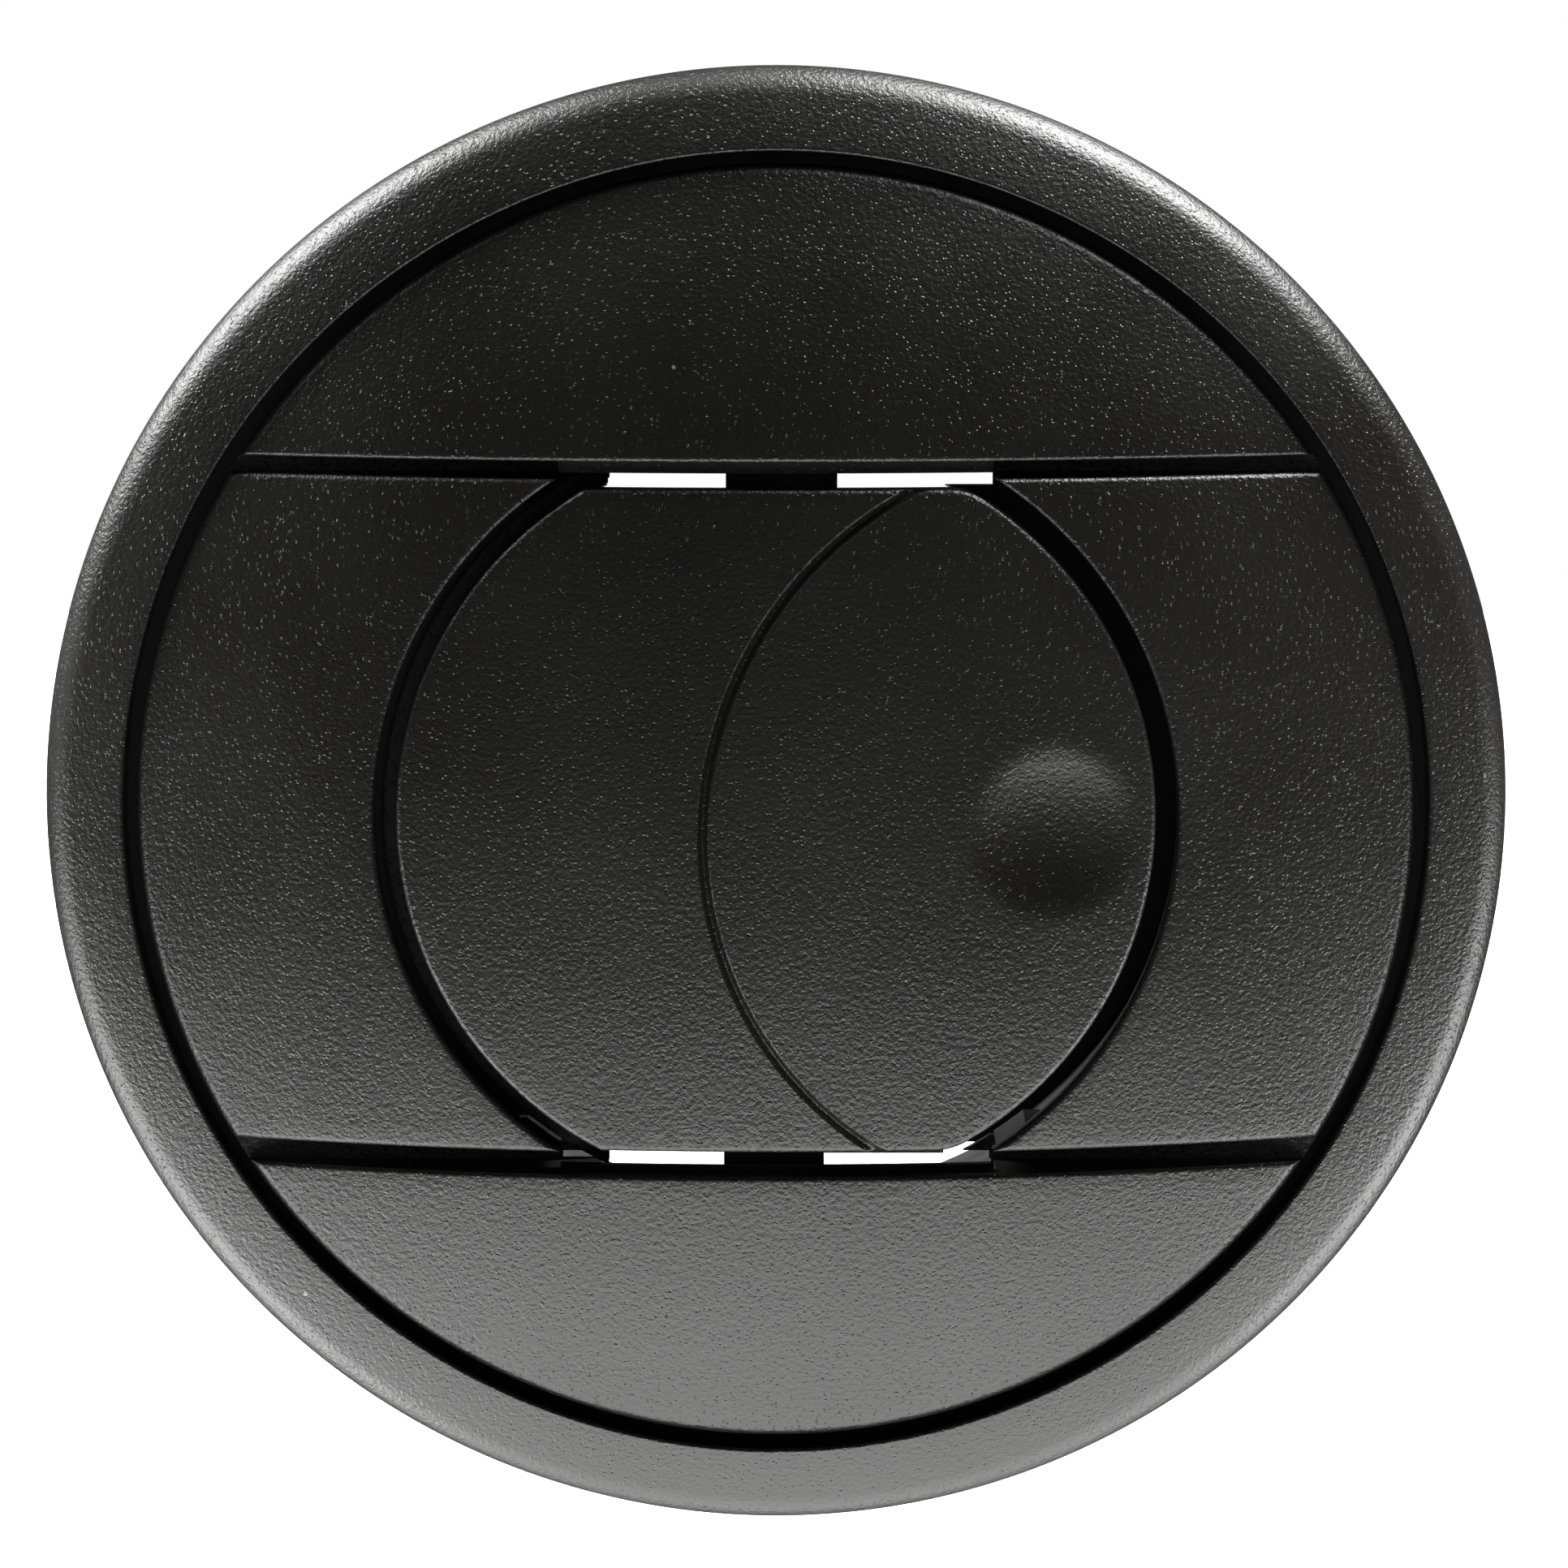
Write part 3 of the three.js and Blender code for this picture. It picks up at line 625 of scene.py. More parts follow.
def bezel_ring():
    """Trim ring: straight wall, rounded edge, and a conical face with a crisp inner edge."""
    wall_rise = 2.0
    edge_radius = 3.6
    face_tilt = math.radians(30)
    pocket, pocket_front = 44.0, FLANGE_FRONT + GAP
    lip_rise = BEZEL_RISE + 0.08  # before its rounding takes the tip off
    steps = 24
    edge = []
    for k in range(steps + 1):
        tilt = math.pi / 2 + (face_tilt - math.pi / 2) * k / steps
        edge.append((
            BEZEL_RADIUS - edge_radius * (1 - math.sin(tilt)),
            wall_rise + edge_radius * math.cos(tilt),
        ))
    inner = rounded([
        edge[-1] + (0,), (BEZEL_BORE, lip_rise, 0.17), (BEZEL_BORE, pocket_front, 0),
        (pocket, pocket_front, 0), (pocket, 0.0, 0.15), (BEZEL_RADIUS, 0.0, 0.3),
    ], steps=6)
    body = solid(*lathe(edge[:-1] + inner, steps=288))
    wide, narrow = (-FAR, FAR), (-4.0, 4.0)
    lugs = []
    for xs, zs in ((wide, narrow), (narrow, wide)):
        arms = slab(xs, (0.2, 1.3), zs)
        lugs.append(common(ring(pocket - 1.1, pocket + 0.5, 0.3, 1.2, 0.25), arms))
    finished(join(body, *lugs), "bezel_ring")


def edge_drop(x, z, patch):
    """How far the rounded edges lower a point of the dome; its rim is rounder than the rest."""
    r = math.hypot(x, z)
    inner_edge = {
        "top": z - OPENING_TOP,
        "bottom": OPENING_BOTTOM - z,
        "wing": min(r - OPENING_RADIUS, BAND - abs(z)),
    }[patch]
    return max(fillet_drop(DOME_RADIUS - r, RIM_FILLET), fillet_drop(inner_edge))


def rotor_dome():
    """The turning front: two segments and two wings, cut apart by grooves with a flat floor."""
    skirt_inner = DOME_RADIUS - 1.8
    channel_ends = (-11.0, 13.7)
    channel_outer = 35.6
    channel_z = (BAND - 1.5, BAND + 3.0)
    channel_back = GROOVE_FLOOR - 0.7
    boss, pilot, boss_back, pilot_end = 2.7, 1.35, 5.3, 8.9

    def front_patch(x, z):
        r = math.hypot(x, z)
        if r > DOME_RADIUS:
            return None
        if z > OPENING_TOP:
            return "top"
        if z < OPENING_BOTTOM:
            return "bottom"
        if abs(x) < LIP_HALF_LENGTH and (z > LIP_TOP or z < LIP_BOTTOM):
            return "top_lip" if z > 0 else "bottom_lip"
        if r < OPENING_RADIUS:
            return None
        return "wing" if abs(z) < BAND else "floor"

    def back_patch(x, z):
        if math.hypot(x, z) > skirt_inner:
            return "skirt"
        away = min(math.hypot(x - sx, z - sz) for sx, sz in CORE_SCREWS)
        if away < pilot:
            return "pilot"
        if away < boss:
            return "boss"
        left, right = channel_ends
        beside_flap = -channel_outer < x < left or right < x < channel_outer
        return "channel" if beside_flap and channel_z[0] < abs(z) < channel_z[1] else "skin"

    def region(x, z):
        name = front_patch(x, z)
        if name is None:
            return None
        return (name, "skin" if name in LIP_STEPS else back_patch(x, z))

    def front(name, x, z):
        r = min(math.hypot(x, z), DOME_RADIUS)
        if name[0] == "floor":
            return GROOVE_FLOOR
        if name[0] in LIP_STEPS:
            return sphere_rise(r, LIP_STEPS[name[0]])
        return sphere_rise(r) - edge_drop(x, z, name[0])

    def back(name, x, z):
        fixed = {"skirt": SKIRT_BACK, "pilot": pilot_end, "boss": boss_back, "channel": channel_back}
        if name[1] in fixed:
            return fixed[name[1]]
        rise = sphere_rise(math.hypot(x, z), DOME_WALL)
        return min(rise, channel_back) if name[0] == "floor" else rise

    curves = [circle((0, 0), skirt_inner, 1.5)]
    for d in fillet_steps(RIM_FILLET, 8):
        curves.append(circle((0, 0), DOME_RADIUS - d, 0.7))
    for d in fillet_steps():
        curves.append(circle((0, 0), OPENING_RADIUS + d, 0.6))
        for z, inward in ((OPENING_TOP, 1), (BAND, -1), (-BAND, 1), (OPENING_BOTTOM, -1)):
            level = z + inward * d
            half = math.sqrt(DOME_RADIUS ** 2 - level ** 2)
            curves.append(line((-half, level), (half, level), 0.9))
    for z in (LIP_TOP, LIP_BOTTOM, channel_z[0], channel_z[1], -channel_z[0], -channel_z[1]):
        half = math.sqrt(skirt_inner ** 2 - z ** 2)
        curves.append(line((-half, z), (half, z)))
    for side in (1, -1):
        for x in channel_ends:
            curves.append(line((x, side * channel_z[0]), (x, side * channel_z[1])))
    for x in (-LIP_HALF_LENGTH, LIP_HALF_LENGTH):
        curves.append(line((x, LIP_TOP), (x, OPENING_TOP), 0.3))
        curves.append(line((x, OPENING_BOTTOM), (x, LIP_BOTTOM), 0.3))
    for place in CORE_SCREWS:
        curves.append(circle(place, boss, 0.6))
        curves.append(circle(place, pilot, 0.4))
    body = two_sided(curves, region, front, back, DOME_RADIUS)
    finished(solid(*body), "rotor_dome")


def lens_groove(x, z):
    """Depth of the shallow groove that outlines the lens on the flap's face."""
    away = abs(math.hypot(x - LENS_CENTRE[0], z - LENS_CENTRE[1]) - LENS_RADIUS)
    if away > LENS_GROOVE_HALF:
        return 0.0
    return LENS_GROOVE_DEPTH * (0.5 + 0.5 * math.cos(math.pi * away / LENS_GROOVE_HALF)) ** 0.7


def dimple(x, z):
    """Depth of the thumb dimple: a shallow bowl with a softened rim."""
    away = math.hypot(x - DIMPLE_CENTRE[0], z - DIMPLE_CENTRE[1]) / DIMPLE_RADIUS
    if away > DIMPLE_REACH:
        return 0.0

    def softened(at):
        bowl = DIMPLE_DEPTH * (1 - at ** 2)
        return 0.5 * (bowl + math.sqrt(bowl ** 2 + DIMPLE_SOFTNESS ** 2))

    return softened(away) - softened(DIMPLE_REACH)


def flap_corner(level):
    """Centre of the rounding at the right end of the flap's upper or lower edge."""
    z = level - math.copysign(FLAP_CORNER_RADIUS, level)
    return math.sqrt((FLAP_RADIUS - FLAP_CORNER_RADIUS) ** 2 - z ** 2), z


def inside_flap(x, z):
    """Distance from a point to the flap's outline; negative outside it."""
    inside = min(FLAP_RADIUS - math.hypot(x, z), FLAP_TOP - z, z - FLAP_BOTTOM)
    for level in (FLAP_TOP, FLAP_BOTTOM):
        corner_x, corner_z = flap_corner(level)
        past_start = x > corner_x and abs(z) > abs(corner_z)
        before_end = abs(z) * corner_x > abs(corner_z) * x
        if past_start and before_end and z * level > 0:
            inside = min(inside, FLAP_CORNER_RADIUS - math.hypot(x - corner_x, z - corner_z))
    return inside


def flap_face():
    """The flap's face, with the lens groove, the dimple, two screw bosses and the rear lip."""
    inner = FLAP_SINK + FLAP_WALL
    boss, pilot, boss_back, pilot_end = 2.2, FLAP_SCREW_PILOT, 10.7, 13.6
    lip_back, lip_front = 11.3, 12.6
    lip_z, root_z = FLAP_BOTTOM - 0.22, FLAP_BOTTOM + 1.2
    backing = 1.4

    def region(x, z):
        in_lip = REAR_LIP[0] < x < REAR_LIP[1] and lip_z < z < root_z
        if inside_flap(x, z) < 0:
            return "lip" if in_lip and z < FLAP_BOTTOM else None
        away = min(math.hypot(x - sx, z - sz) for sx, sz in FLAP_SCREWS)
        if away < pilot:
            return "pilot"
        if away < boss:
            return "boss"
        return "lip_root" if in_lip else "face"

    def front(name, x, z):
        if name == "lip":
            return lip_front
        r = min(math.hypot(x, z), FLAP_RADIUS)
        drop = fillet_drop(inside_flap(x, z))
        return sphere_rise(r, FLAP_SINK) - drop - lens_groove(x, z) - dimple(x, z)

    def back(name, x, z):
        fixed = {"lip": lip_back, "lip_root": lip_back, "boss": boss_back, "pilot": pilot_end}
        if name in fixed:
            return fixed[name]
        r = min(math.hypot(x, z), FLAP_RADIUS)
        return min(sphere_rise(r, inner), sphere_rise(r, FLAP_SINK) - dimple(x, z) - backing)

    curves = []
    for d in fillet_steps():
        curves.append(circle((0, 0), FLAP_RADIUS - d, 0.6))
        for level in (FLAP_TOP - d, FLAP_BOTTOM + d):
            half = math.sqrt(FLAP_RADIUS ** 2 - level ** 2) + 0.3
            curves.append(line((-half, level), (half, level), 0.7))
        for level in (FLAP_TOP, FLAP_BOTTOM):
            corner = flap_corner(level)
            start = math.copysign(math.pi / 2, level)
            end = math.atan2(corner[1], corner[0])
            curves.append(circle(corner, FLAP_CORNER_RADIUS - d, 0.5, start, end))
    left = 0.62 * math.pi
    for k in range(-6, 7):
        radius = LENS_RADIUS + LENS_GROOVE_HALF * k / 6
        curves.append(circle(LENS_CENTRE, radius, 0.7, left, TAU - left))
    for k in range(1, 9):
        curves.append(circle(DIMPLE_CENTRE, DIMPLE_RADIUS * DIMPLE_REACH * k / 8, 0.6))
    for x in REAR_LIP:
        curves.append(line((x, lip_z), (x, root_z), 0.3))
    for z in (lip_z, root_z):
        curves.append(line((REAR_LIP[0], z), (REAR_LIP[1], z)))
    for place in FLAP_SCREWS:
        curves.append(circle(place, boss, 0.6))
        curves.append(circle(place, pilot, 0.4))
    body = two_sided(curves, region, front, back, FLAP_RADIUS, grid=1.0)
    finished(solid(*body), "flap_face")


# ---------------------------------------------------------------- inner and rear pieces


def mounting_base():
    """Flange, cup for the core, and the barbed spigot for the duct."""
    lip, cup_bore, cup, cup_end = 30.7, 31.8, 33.2, -7.0
    duct, duct_bore = 30.0, 28.6
    barb, barb_rises = 0.5, (-14.5, -11.5)
    sink_back, sink_radius = 1.7, 2.95
    flange_back, felt_floor = 1.5, FLANGE_FRONT - 1.0
    felt_inner, felt_outer = FELT_GROOVE
    corners = [
        (lip, FLANGE_FRONT, 0.25), (lip, flange_back, 0.1), (cup_bore, flange_back, 0.1),
        (cup_bore, cup_end, 0.8), (duct_bore, cup_end - 2, 0.8), (duct_bore, DUCT_END, 0.25),
        (duct - 0.3, DUCT_END, 0.1), (duct, DUCT_END + 0.5, 0.3),
    ]
    for rise in barb_rises:
        corners += [(duct, rise - 2, 0.5), (duct + barb, rise, 0.06), (duct, rise + 0.1, 0.05)]
    corners += [
        (duct, cup_end - 2.6, 0.8), (cup, cup_end - 0.6, 0.8), (cup, flange_back, 0.4),
        (FLANGE_RADIUS, flange_back, 0.2), (FLANGE_RADIUS, FLANGE_FRONT, 0.3),
        (felt_outer, FLANGE_FRONT, 0.1), (felt_outer, felt_floor, 0.1),
        (felt_inner, felt_floor, 0.1), (felt_inner, FLANGE_FRONT, 0.1),
    ]
    holes = []
    for place in PANEL_SCREWS:
        holes.append(rod(place, PANEL_SCREW_HOLE, 0, FLANGE_FRONT + 1))
        holes.append(rod(place, PANEL_SCREW_HOLE, sink_back, FLANGE_FRONT + 0.01, sink_radius))
    finished(cut(turned(corners), *holes), "mounting_base")


def panel_gasket():
    """Foam ring with its edges pressed round."""
    inner = 33.7
    holes = [rod(place, PANEL_SCREW_HOLE, -1, GASKET_FRONT + 1) for place in PANEL_SCREWS]
    body = ring(inner, GASKET_RADIUS, 0.0, GASKET_FRONT, 0.3)
    finished(cut(body, *holes), "panel_gasket")


def spin_felt_ring():
    inner, outer = FELT_GROOVE
    body = ring(inner + GAP, outer - GAP, FLANGE_FRONT - 0.7, FLANGE_FRONT, 0.2)
    finished(body, "spin_felt_ring")


def retaining_ring():
    """Split snap ring with a lead-in on its rear edge."""
    back, front = RETAINER_GROOVE[0] + GAP, RETAINER_GROOVE[1] - GAP
    inner, outer = RETAINER_FLOOR + GAP, 31.4
    split_half = 5.0
    body = turned([
        (inner, back, 0.15), (outer, back, 0.5), (outer, front, 0.12), (inner, front, 0.1),
    ])
    body = cut(body, slab((-split_half, split_half), (-FAR, FAR), (-FAR, 0.0)))
    finished(body, "retaining_ring")


def closing_seal():
    """Foam crescent on the ledge, rounded on the side that the flap presses on."""
    back, front = LEDGE_FRONT + GAP, LEDGE_FRONT + 1.2
    inner, outer = FLAP_RADIUS - 0.5, OPENING_RADIUS - 0.45
    body = turned([
        (inner, back, 0.05), (outer, back, 0.05), (outer, front, 0.35), (inner, front, 0.35),
    ])
    body = common(body, slab((-FAR, LEDGE_END_X), (0.0, FAR), (-OPENING_TOP, OPENING_TOP)))
    finished(body, "closing_seal")


def rotor_core():
    """Barrel, cheeks that guide the air, rear wall, closing ledge and the two bearing posts."""
    lower_half, upper_half = BAND - 0.2, BAND - 1.8
    cheek, cheek_outer, cheek_front = 26.4, 27.6, 9.4
    into_barrel = BARREL_BORE + 0.5
    lip_radius = FLAP_RADIUS - 0.55
    groove_back, groove_front = RETAINER_GROOVE
    wall = 1.2
    throat, throat_half = 22.0, 13.8
    throat_top, throat_bottom = 19.2, -23.05
    seat_radius, seat_start, seat_end = 2.4, 18.8, 23.8
    screw_hole, sink_radius = 1.4, 2.6
    barrel = turned([
        (BARREL_BORE, BARREL_END, 0.3), (BARREL_RADIUS, BARREL_END, 0.3),
        (BARREL_RADIUS, groove_back, 0.1), (RETAINER_FLOOR, groove_back, 0.05),
        (RETAINER_FLOOR, groove_front, 0.05), (BARREL_RADIUS, groove_front, 0.1),
        (BARREL_RADIUS, CORE_BACK, 0.3), (CORE_FLANGE_RADIUS, CORE_BACK, 0.2),
        (CORE_FLANGE_RADIUS, CORE_FRONT, 0.2), (BARREL_BORE, CORE_FRONT, 0.0),
    ])
    bands = join(
        slab((-FAR, FAR), (BARREL_END, CORE_FRONT), (-lower_half, lower_half)),
        slab((-FAR, FAR), (CORE_FRONT - 1, cheek_front), (-upper_half, upper_half)),
    )
    cheeks = common(ring(cheek, cheek_outer, BARREL_END, cheek_front, 0.25), bands)
    notches = [
        slab((-throat_half, throat_half), (-FAR, 0.0), zs)
        for zs in ((throat_top, FAR), (-FAR, throat_bottom))
    ]
    rear_wall = cut(ring(throat, into_barrel, BARREL_END, BARREL_END + wall, 0.3), *notches)
    front_walls = common(
        ring(cheek_outer - 0.5, into_barrel, CORE_BACK, CORE_FRONT),
        slab((-FAR, FAR), (0.0, FAR), (-lower_half, lower_half)),
    )

    def left_of(half_height):
        return slab((-FAR, LEDGE_END_X), (0.0, FAR), (-half_height, half_height))

    left_wall = common(
        ring(lip_radius, into_barrel, CORE_BACK, CORE_FRONT, 0.2),
        left_of(OPENING_TOP),
    )
    ledge_back = LEDGE_FRONT - wall
    ledge = common(
        ring(lip_radius, OPENING_RADIUS - 0.35, ledge_back, LEDGE_FRONT, 0.2),
        left_of(OPENING_TOP),
    )
    ledge_root = common(
        ring(OPENING_RADIUS - 0.6, cheek + 0.5, ledge_back, LEDGE_FRONT),
        left_of(upper_half),
    )

    def post(xs, side):
        face, step, nose_radius = 19.8, 20.9, 4.3
        body = slab(xs, (CORE_BACK, CORE_POST_FRONT), sorted((side * step, side * FAR)))
        nose = slab(xs, (CORE_BACK, CORE_POST_FRONT), sorted((side * face, side * (step + 1))))
        return join(body, common(nose, pivot_rod(nose_radius, side * face, side * (step + 1))))

    posts = common(
        join(post((-3.1, 3.8), 1), post((-3.25, 3.0), -1)),
        under_sphere(DOME_WALL + GAP, BARREL_RADIUS - 0.8, 0.0),
    )
    seats = [pivot_rod(seat_radius, side * seat_start, side * seat_end) for side in (1, -1)]
    holes = []
    for place in CORE_SCREWS:
        holes.append(rod(place, screw_hole, 0, CORE_FRONT + 1))
        holes.append(rod(place, sink_radius, CORE_BACK - 0.01, CORE_FRONT - 0.1, screw_hole))
    body = join(barrel, cheeks, rear_wall, front_walls, left_wall, ledge, ledge_root, posts)
    finished(cut(body, *seats, *holes), "rotor_core", angle=30.0)


def flap_frame():
    """Stiffening plate and ribs behind the flap's face, and the hub that the pins sit in."""
    half = FRAME_HALF_HEIGHT
    plate_radius, back, front = 21.2, 9.0, 10.4
    hub_radius, neck_half, bore_start = 2.8, 2.0, 11.7
    rib_half, rib_back, rib_inner, rib_outer = 16.0, 7.2, 8.4, 9.6
    within = slab((-FAR, FAR), (0.0, FAR), (-half, half))
    plate = common(ring(0.0, plate_radius, back, front), within)
    hub = pivot_turned([
        (0, -half, 0), (hub_radius, -half, 0.4), (hub_radius, half, 0.4), (0, half, 0),
    ])
    neck = slab((-neck_half, neck_half), (PIVOT_RISE, front), (-half, half))
    ribs = []
    for side in (1, -1):
        zs = sorted((side * rib_inner, side * rib_outer))
        ribs.append(slab((-rib_half, rib_half), (rib_back, front), zs, 0.25))
    bores = [pivot_rod(PIN_BORE, side * bore_start, side * (half + 1), 32) for side in (1, -1)]
    holes = [rod(place, FLAP_SCREW_PILOT, 0, DOME_APEX) for place in FLAP_SCREWS]
    finished(cut(join(plate, hub, neck, *ribs), *bores, *holes), "flap_frame")


def pivot_parts():
    """Bushes, pins and friction washers, in the same way at both ends of the flap."""
    flange, flange_end = 2.9, BUSH_START + 0.6
    sleeve, sleeve_end = 2.1, BUSH_START + 4.6
    pin, pin_start, pin_end = 1.1, 12.0, 23.0
    washer, washer_start, washer_end = 2.7, BUSH_START - 1.1, BUSH_START - GAP
    shapes = {
        "pivot_bush": [
            (PIN_BORE, BUSH_START, 0.1), (flange, BUSH_START, 0.15), (flange, flange_end, 0.1),
            (sleeve, flange_end, 0.08), (sleeve, sleeve_end, 0.25), (PIN_BORE, sleeve_end, 0.1),
        ],
        "pivot_pin": [
            (0, pin_start, 0), (pin, pin_start, 0.25), (pin, pin_end, 0.25), (0, pin_end, 0),
        ],
        "friction_washer": [
            (PIN_BORE, washer_start, 0.1), (washer, washer_start, 0.2),
            (washer, washer_end, 0.2), (PIN_BORE, washer_end, 0.1),
        ],
    }
    for end, side in (("upper", 1), ("lower", -1)):
        for name, corners in shapes.items():
            placed = [(radius, side * z, fillet) for radius, z, fillet in corners]
            finished(pivot_turned(placed), f"{name}_{end}")


def cross_recess(place, face, direction, reach, depth):
    """A tapered cross, as a tool for cutting the recess in a screw's head."""
    slimness, taper, clear_of_head = 0.24, 0.62, -0.3
    arms = []
    for long_x in (True, False):
        points = []
        for level, shrink in ((clear_of_head, 1.0), (depth, taper)):
            long, wide = reach * shrink, reach * slimness * shrink
            dx, dz = (long, wide) if long_x else (wide, long)
            rise = face - direction * level
            points += [(place[0] + sx * dx, rise, place[1] + sz * dz) for sx, sz in SQUARE]
        faces = [(0, 1, 2, 3), (4, 5, 6, 7), (0, 1, 5, 4), (1, 2, 6, 5), (2, 3, 7, 6), (3, 0, 4, 7)]
        arms.append(solid(points, faces))
    return join(*arms)


def screw(node, place, face, direction, head, shank, head_depth, length):
    """Countersunk self-tapping screw; its tip points back where direction is 1, forward at -1."""
    around, rows_per_turn, run_in_rows = 30, 9, 6
    pitch = 0.75 * shank + 0.1
    core = shank * 0.74
    tip = length - 2.2 * shank
    thread_start = head_depth + 0.3
    threaded = length - 0.15 - thread_start
    rows = [
        (0.0, head * 0.97, 0.0), (0.08, head, 0.0), (0.2, head, 0.0),
        (head_depth, shank * 0.9, 0.0),
    ]
    count = int(threaded / pitch * rows_per_turn)
    for k in range(count + 1):
        depth = thread_start + threaded * k / count
        taper = max(0.0, 1 - max(0.0, depth - tip) / (length - tip))
        ridge = (shank - core) * min(1.0, taper * 1.6) * min(1, k / run_in_rows)
        rows.append((depth, core * (0.25 + 0.75 * taper), ridge))
    rows.append((length, 0.15, 0.0))
    points, faces = [], []
    for depth, radius, ridge in rows:
        rise = face - direction * depth
        for i in range(around):
            turn = TAU * i / around
            phase = (depth / pitch - i / around) % 1
            r = radius + ridge * max(0.0, 1 - abs(phase - 0.5) / 0.32)
            points.append((place[0] + r * math.cos(turn), rise, place[1] + r * math.sin(turn)))
    for j in range(len(rows) - 1):
        for i in range(around):
            n = (i + 1) % around
            here, beyond = j * around, (j + 1) * around
            faces.append((here + i, here + n, beyond + n, beyond + i))
    faces += [tuple(range(around)), tuple(range((len(rows) - 1) * around, len(rows) * around))]
    recess = cross_recess(place, face, direction, head * 0.55, head_depth * 0.7)
    finished(cut(solid(points, faces), recess), node)


def screws():
    """The panel's screws point back; those of the core and of the flap go in from behind."""
    for i, place in enumerate(PANEL_SCREWS):
        screw(f"panel_screw_{i + 1}", place, face=FLANGE_FRONT - 0.1, direction=1,
              head=2.7, shank=1.45, head_depth=1.4, length=15.0)
    for i, place in enumerate(CORE_SCREWS):
        screw(f"core_screw_{i + 1}", place, face=CORE_BACK + 0.05, direction=-1,
              head=2.2, shank=1.0, head_depth=0.9, length=4.8)
    for i, place in enumerate(FLAP_SCREWS):
        screw(f"flap_screw_{i + 1}", place, face=7.8, direction=-1,
              head=1.9, shank=0.9, head_depth=0.9, length=5.2)


for make in (bezel_ring, rotor_dome, flap_face, mounting_base, panel_gasket, spin_felt_ring,
             retaining_ring, closing_seal, rotor_core, flap_frame, pivot_parts, screws):
    make()

# ---------------------------------------------------------------- camera, stage and light

# Lengths from here on are metres.
CAMERA_DISTANCE = 0.5
CAMERA_ELEVATION = math.radians(6.4)
LENS = 183.8
AIM_RIGHT = 0.0005
AIM_UP = 0.00137
FLOOR_LEVEL = -0.35
FLOOR_REACH = 4.0


def add_camera():
    """Long lens, a little above the axis, aimed close to the centre of the dome's rim."""
    data = bpy.data.cameras.new("camera")
    data.lens = LENS
    data.sensor_width = 36.0
    camera = bpy.data.objects.new("camera", data)
    bpy.context.scene.collection.objects.link(camera)
    back = Vector((0, -math.cos(CAMERA_ELEVATION), math.sin(CAMERA_ELEVATION)))
    up = Vector((0, math.sin(CAMERA_ELEVATION), math.cos(CAMERA_ELEVATION)))
    rim_centre = Vector((0, -sphere_rise(DOME_RADIUS) * MM, 0))
    target = rim_centre + Vector((AIM_RIGHT, 0, 0)) + up * AIM_UP
    camera.location = target + back * CAMERA_DISTANCE
    camera.rotation_euler = (-back).to_track_quat("-Z", "Y").to_euler()
    bpy.context.scene.camera = camera


def add_floor():
    """A wide pale floor under the object, and not part of it."""
    mesh = bpy.data.meshes.new("floor")
    corners = [(sx * FLOOR_REACH, sy * FLOOR_REACH, FLOOR_LEVEL) for sx, sy in SQUARE]
    mesh.from_pydata(corners, [], [(0, 1, 2, 3)])
    plane = bpy.data.objects.new("floor", mesh)
    bpy.context.scene.collection.objects.link(plane)
    material = bpy.data.materials.new("floor")
    material.use_nodes = True
    shader = material.node_tree.nodes["Principled BSDF"]
    shader.inputs["Base Color"].default_value = (0.86, 0.86, 0.85, 1)
    shader.inputs["Roughness"].default_value = 0.9
    shader.inputs["Emission Color"].default_value = (1, 1, 1, 1)
    shader.inputs["Emission Strength"].default_value = 1.0
    mesh.materials.append(material)
    plane.visible_diffuse = False
    plane.visible_glossy = False
    plane.visible_shadow = False


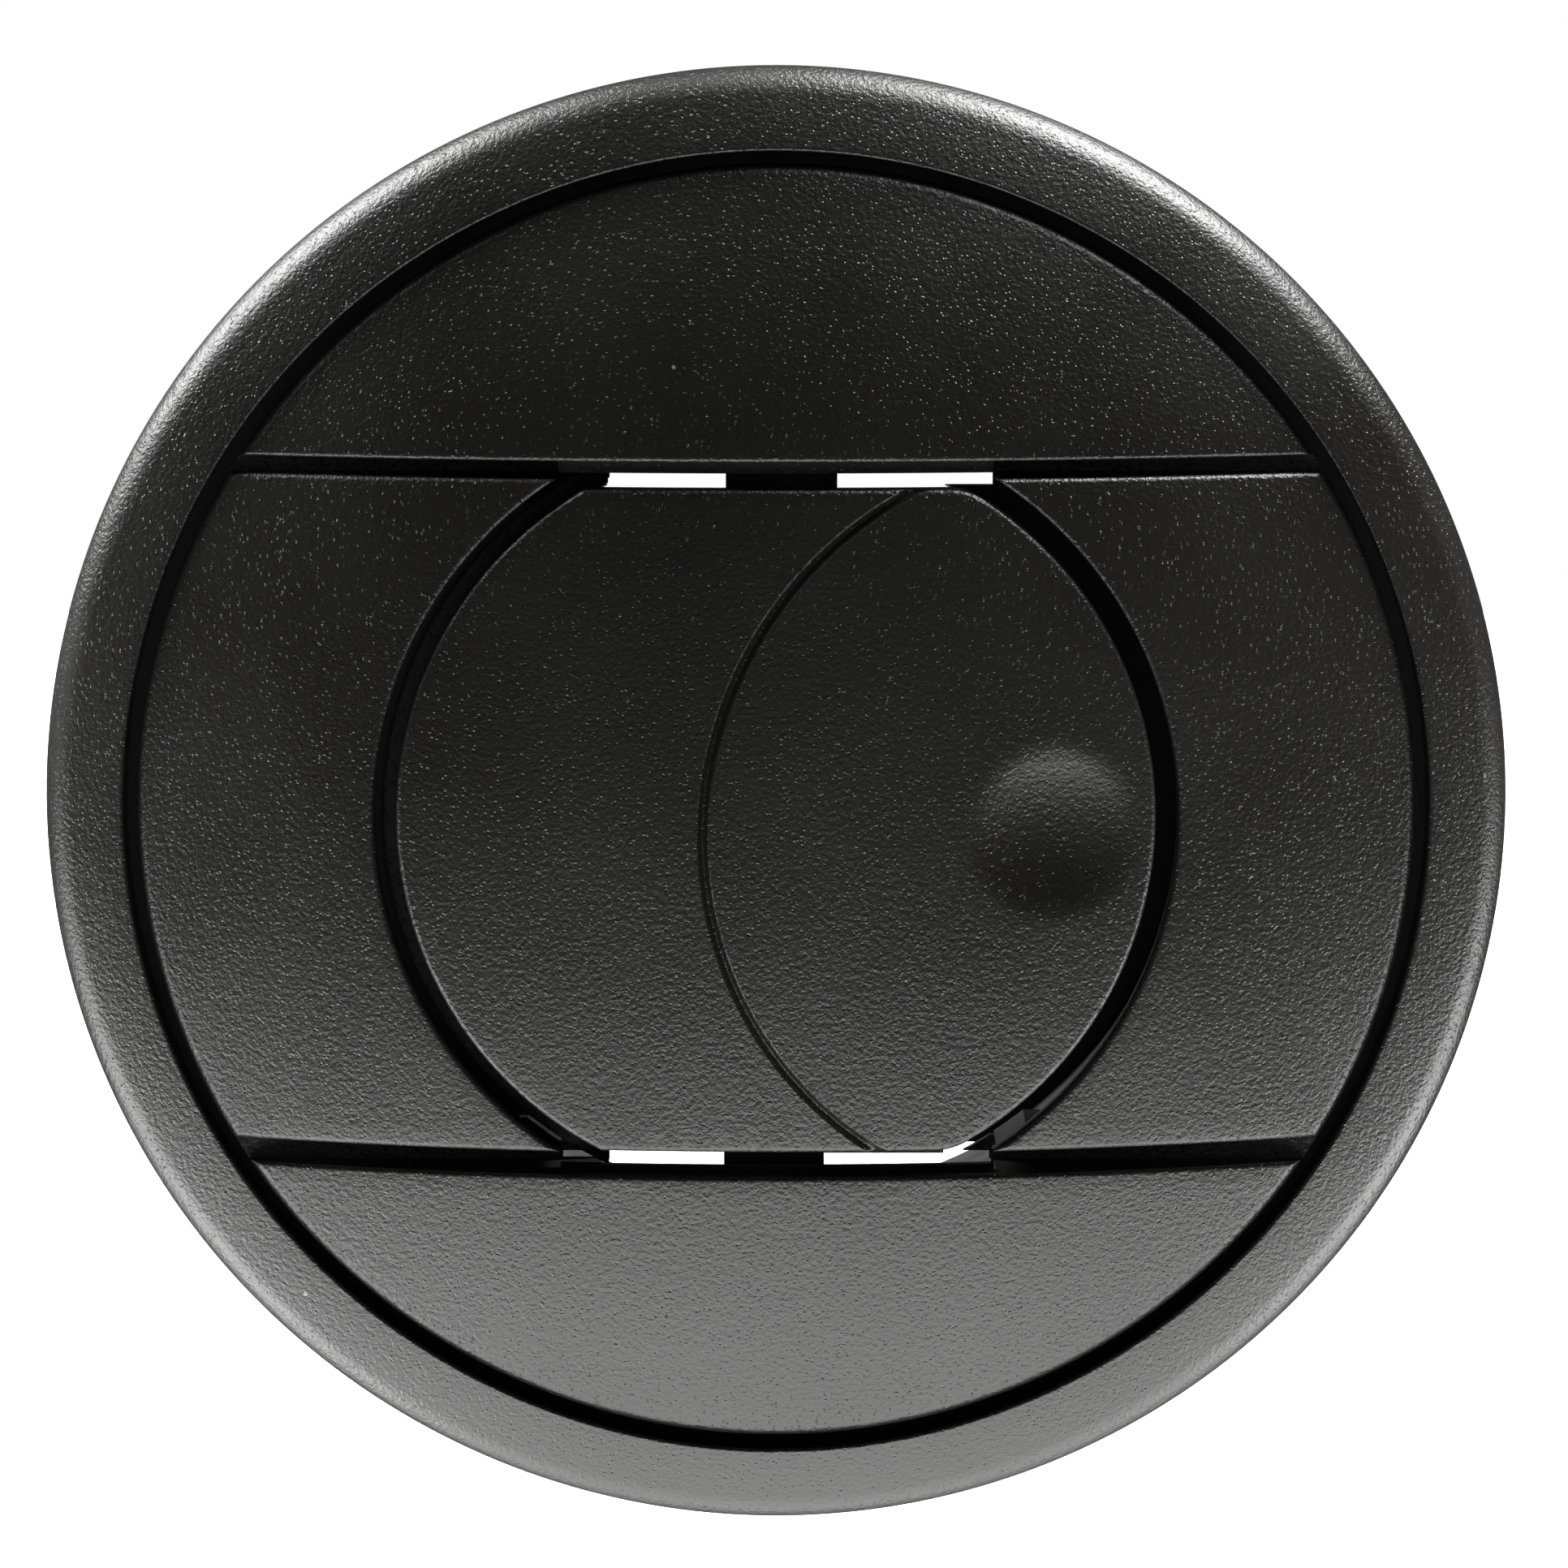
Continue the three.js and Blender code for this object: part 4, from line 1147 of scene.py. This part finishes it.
# Soft boxes round the object: (angle from straight ahead of it, angle round from its right, half
# angle of the even part, half angle at the edge, radiance), with the angles in degrees.
SOFT_BOXES = {
    "from_below": (87, 270, 44, 58, 2.12),
    "upper_right": (107, 61, 7, 26, 14.5),
    "upper_left": (116, 136, 5, 28, 12.5),
    "lower_left": (98, 216, 14, 28, 4.2),
    "lower_right": (97, 328, 9, 26, 4.6),
    "above": (84, 84, 3, 12, 0.24),
    "ahead": (0, 0, 10, 30, 0.075),
}
# Everywhere but straight behind the object, as a factor on the boxes.
DARK_BEHIND = (0, 0, 118, 135, 1.0)


def soft_box(tree, direction, box):
    """Socket with the radiance that one soft box sends from a direction."""
    ahead, turn, inner, outer, radiance = box
    ahead, turn = math.radians(ahead), math.radians(turn)
    middle = (
        math.sin(ahead) * math.cos(turn),
        -math.cos(ahead),
        math.sin(ahead) * math.sin(turn),
    )
    toward = tree.nodes.new("ShaderNodeVectorMath")
    toward.operation = "DOT_PRODUCT"
    tree.links.new(direction, toward.inputs[0])
    toward.inputs[1].default_value = middle
    falloff = tree.nodes.new("ShaderNodeMapRange")
    falloff.interpolation_type = "SMOOTHSTEP"
    falloff.inputs["From Min"].default_value = math.cos(math.radians(outer))
    falloff.inputs["From Max"].default_value = math.cos(math.radians(inner))
    falloff.inputs["To Max"].default_value = radiance
    tree.links.new(toward.outputs["Value"], falloff.inputs["Value"])
    return falloff.outputs["Result"]


def add_world():
    """Plain white to the camera; to the object, a room with soft boxes, dark behind the object."""
    world = bpy.data.worlds.new("studio")
    bpy.context.scene.world = world
    world.use_nodes = True
    tree = world.node_tree
    background = tree.nodes["Background"]
    background.inputs["Color"].default_value = (1, 1, 1, 1)
    direction = tree.nodes.new("ShaderNodeTexCoord").outputs["Generated"]

    def combine(operation, first, second):
        node = tree.nodes.new("ShaderNodeMath")
        node.operation = operation
        tree.links.new(first, node.inputs[0])
        tree.links.new(second, node.inputs[1])
        return node.outputs[0]

    boxes = [soft_box(tree, direction, box) for box in SOFT_BOXES.values()]
    level = boxes[0]
    for box in boxes[1:]:
        level = combine("ADD", level, box)
    level = combine("MULTIPLY", level, soft_box(tree, direction, DARK_BEHIND))
    camera_sees = tree.nodes.new("ShaderNodeLightPath").outputs["Is Camera Ray"]
    tree.links.new(combine("ADD", level, camera_sees), background.inputs["Strength"])


bpy.context.scene.view_settings.view_transform = "Standard"
bpy.context.scene.view_settings.gamma = 1.0
add_camera()
add_world()
add_floor()
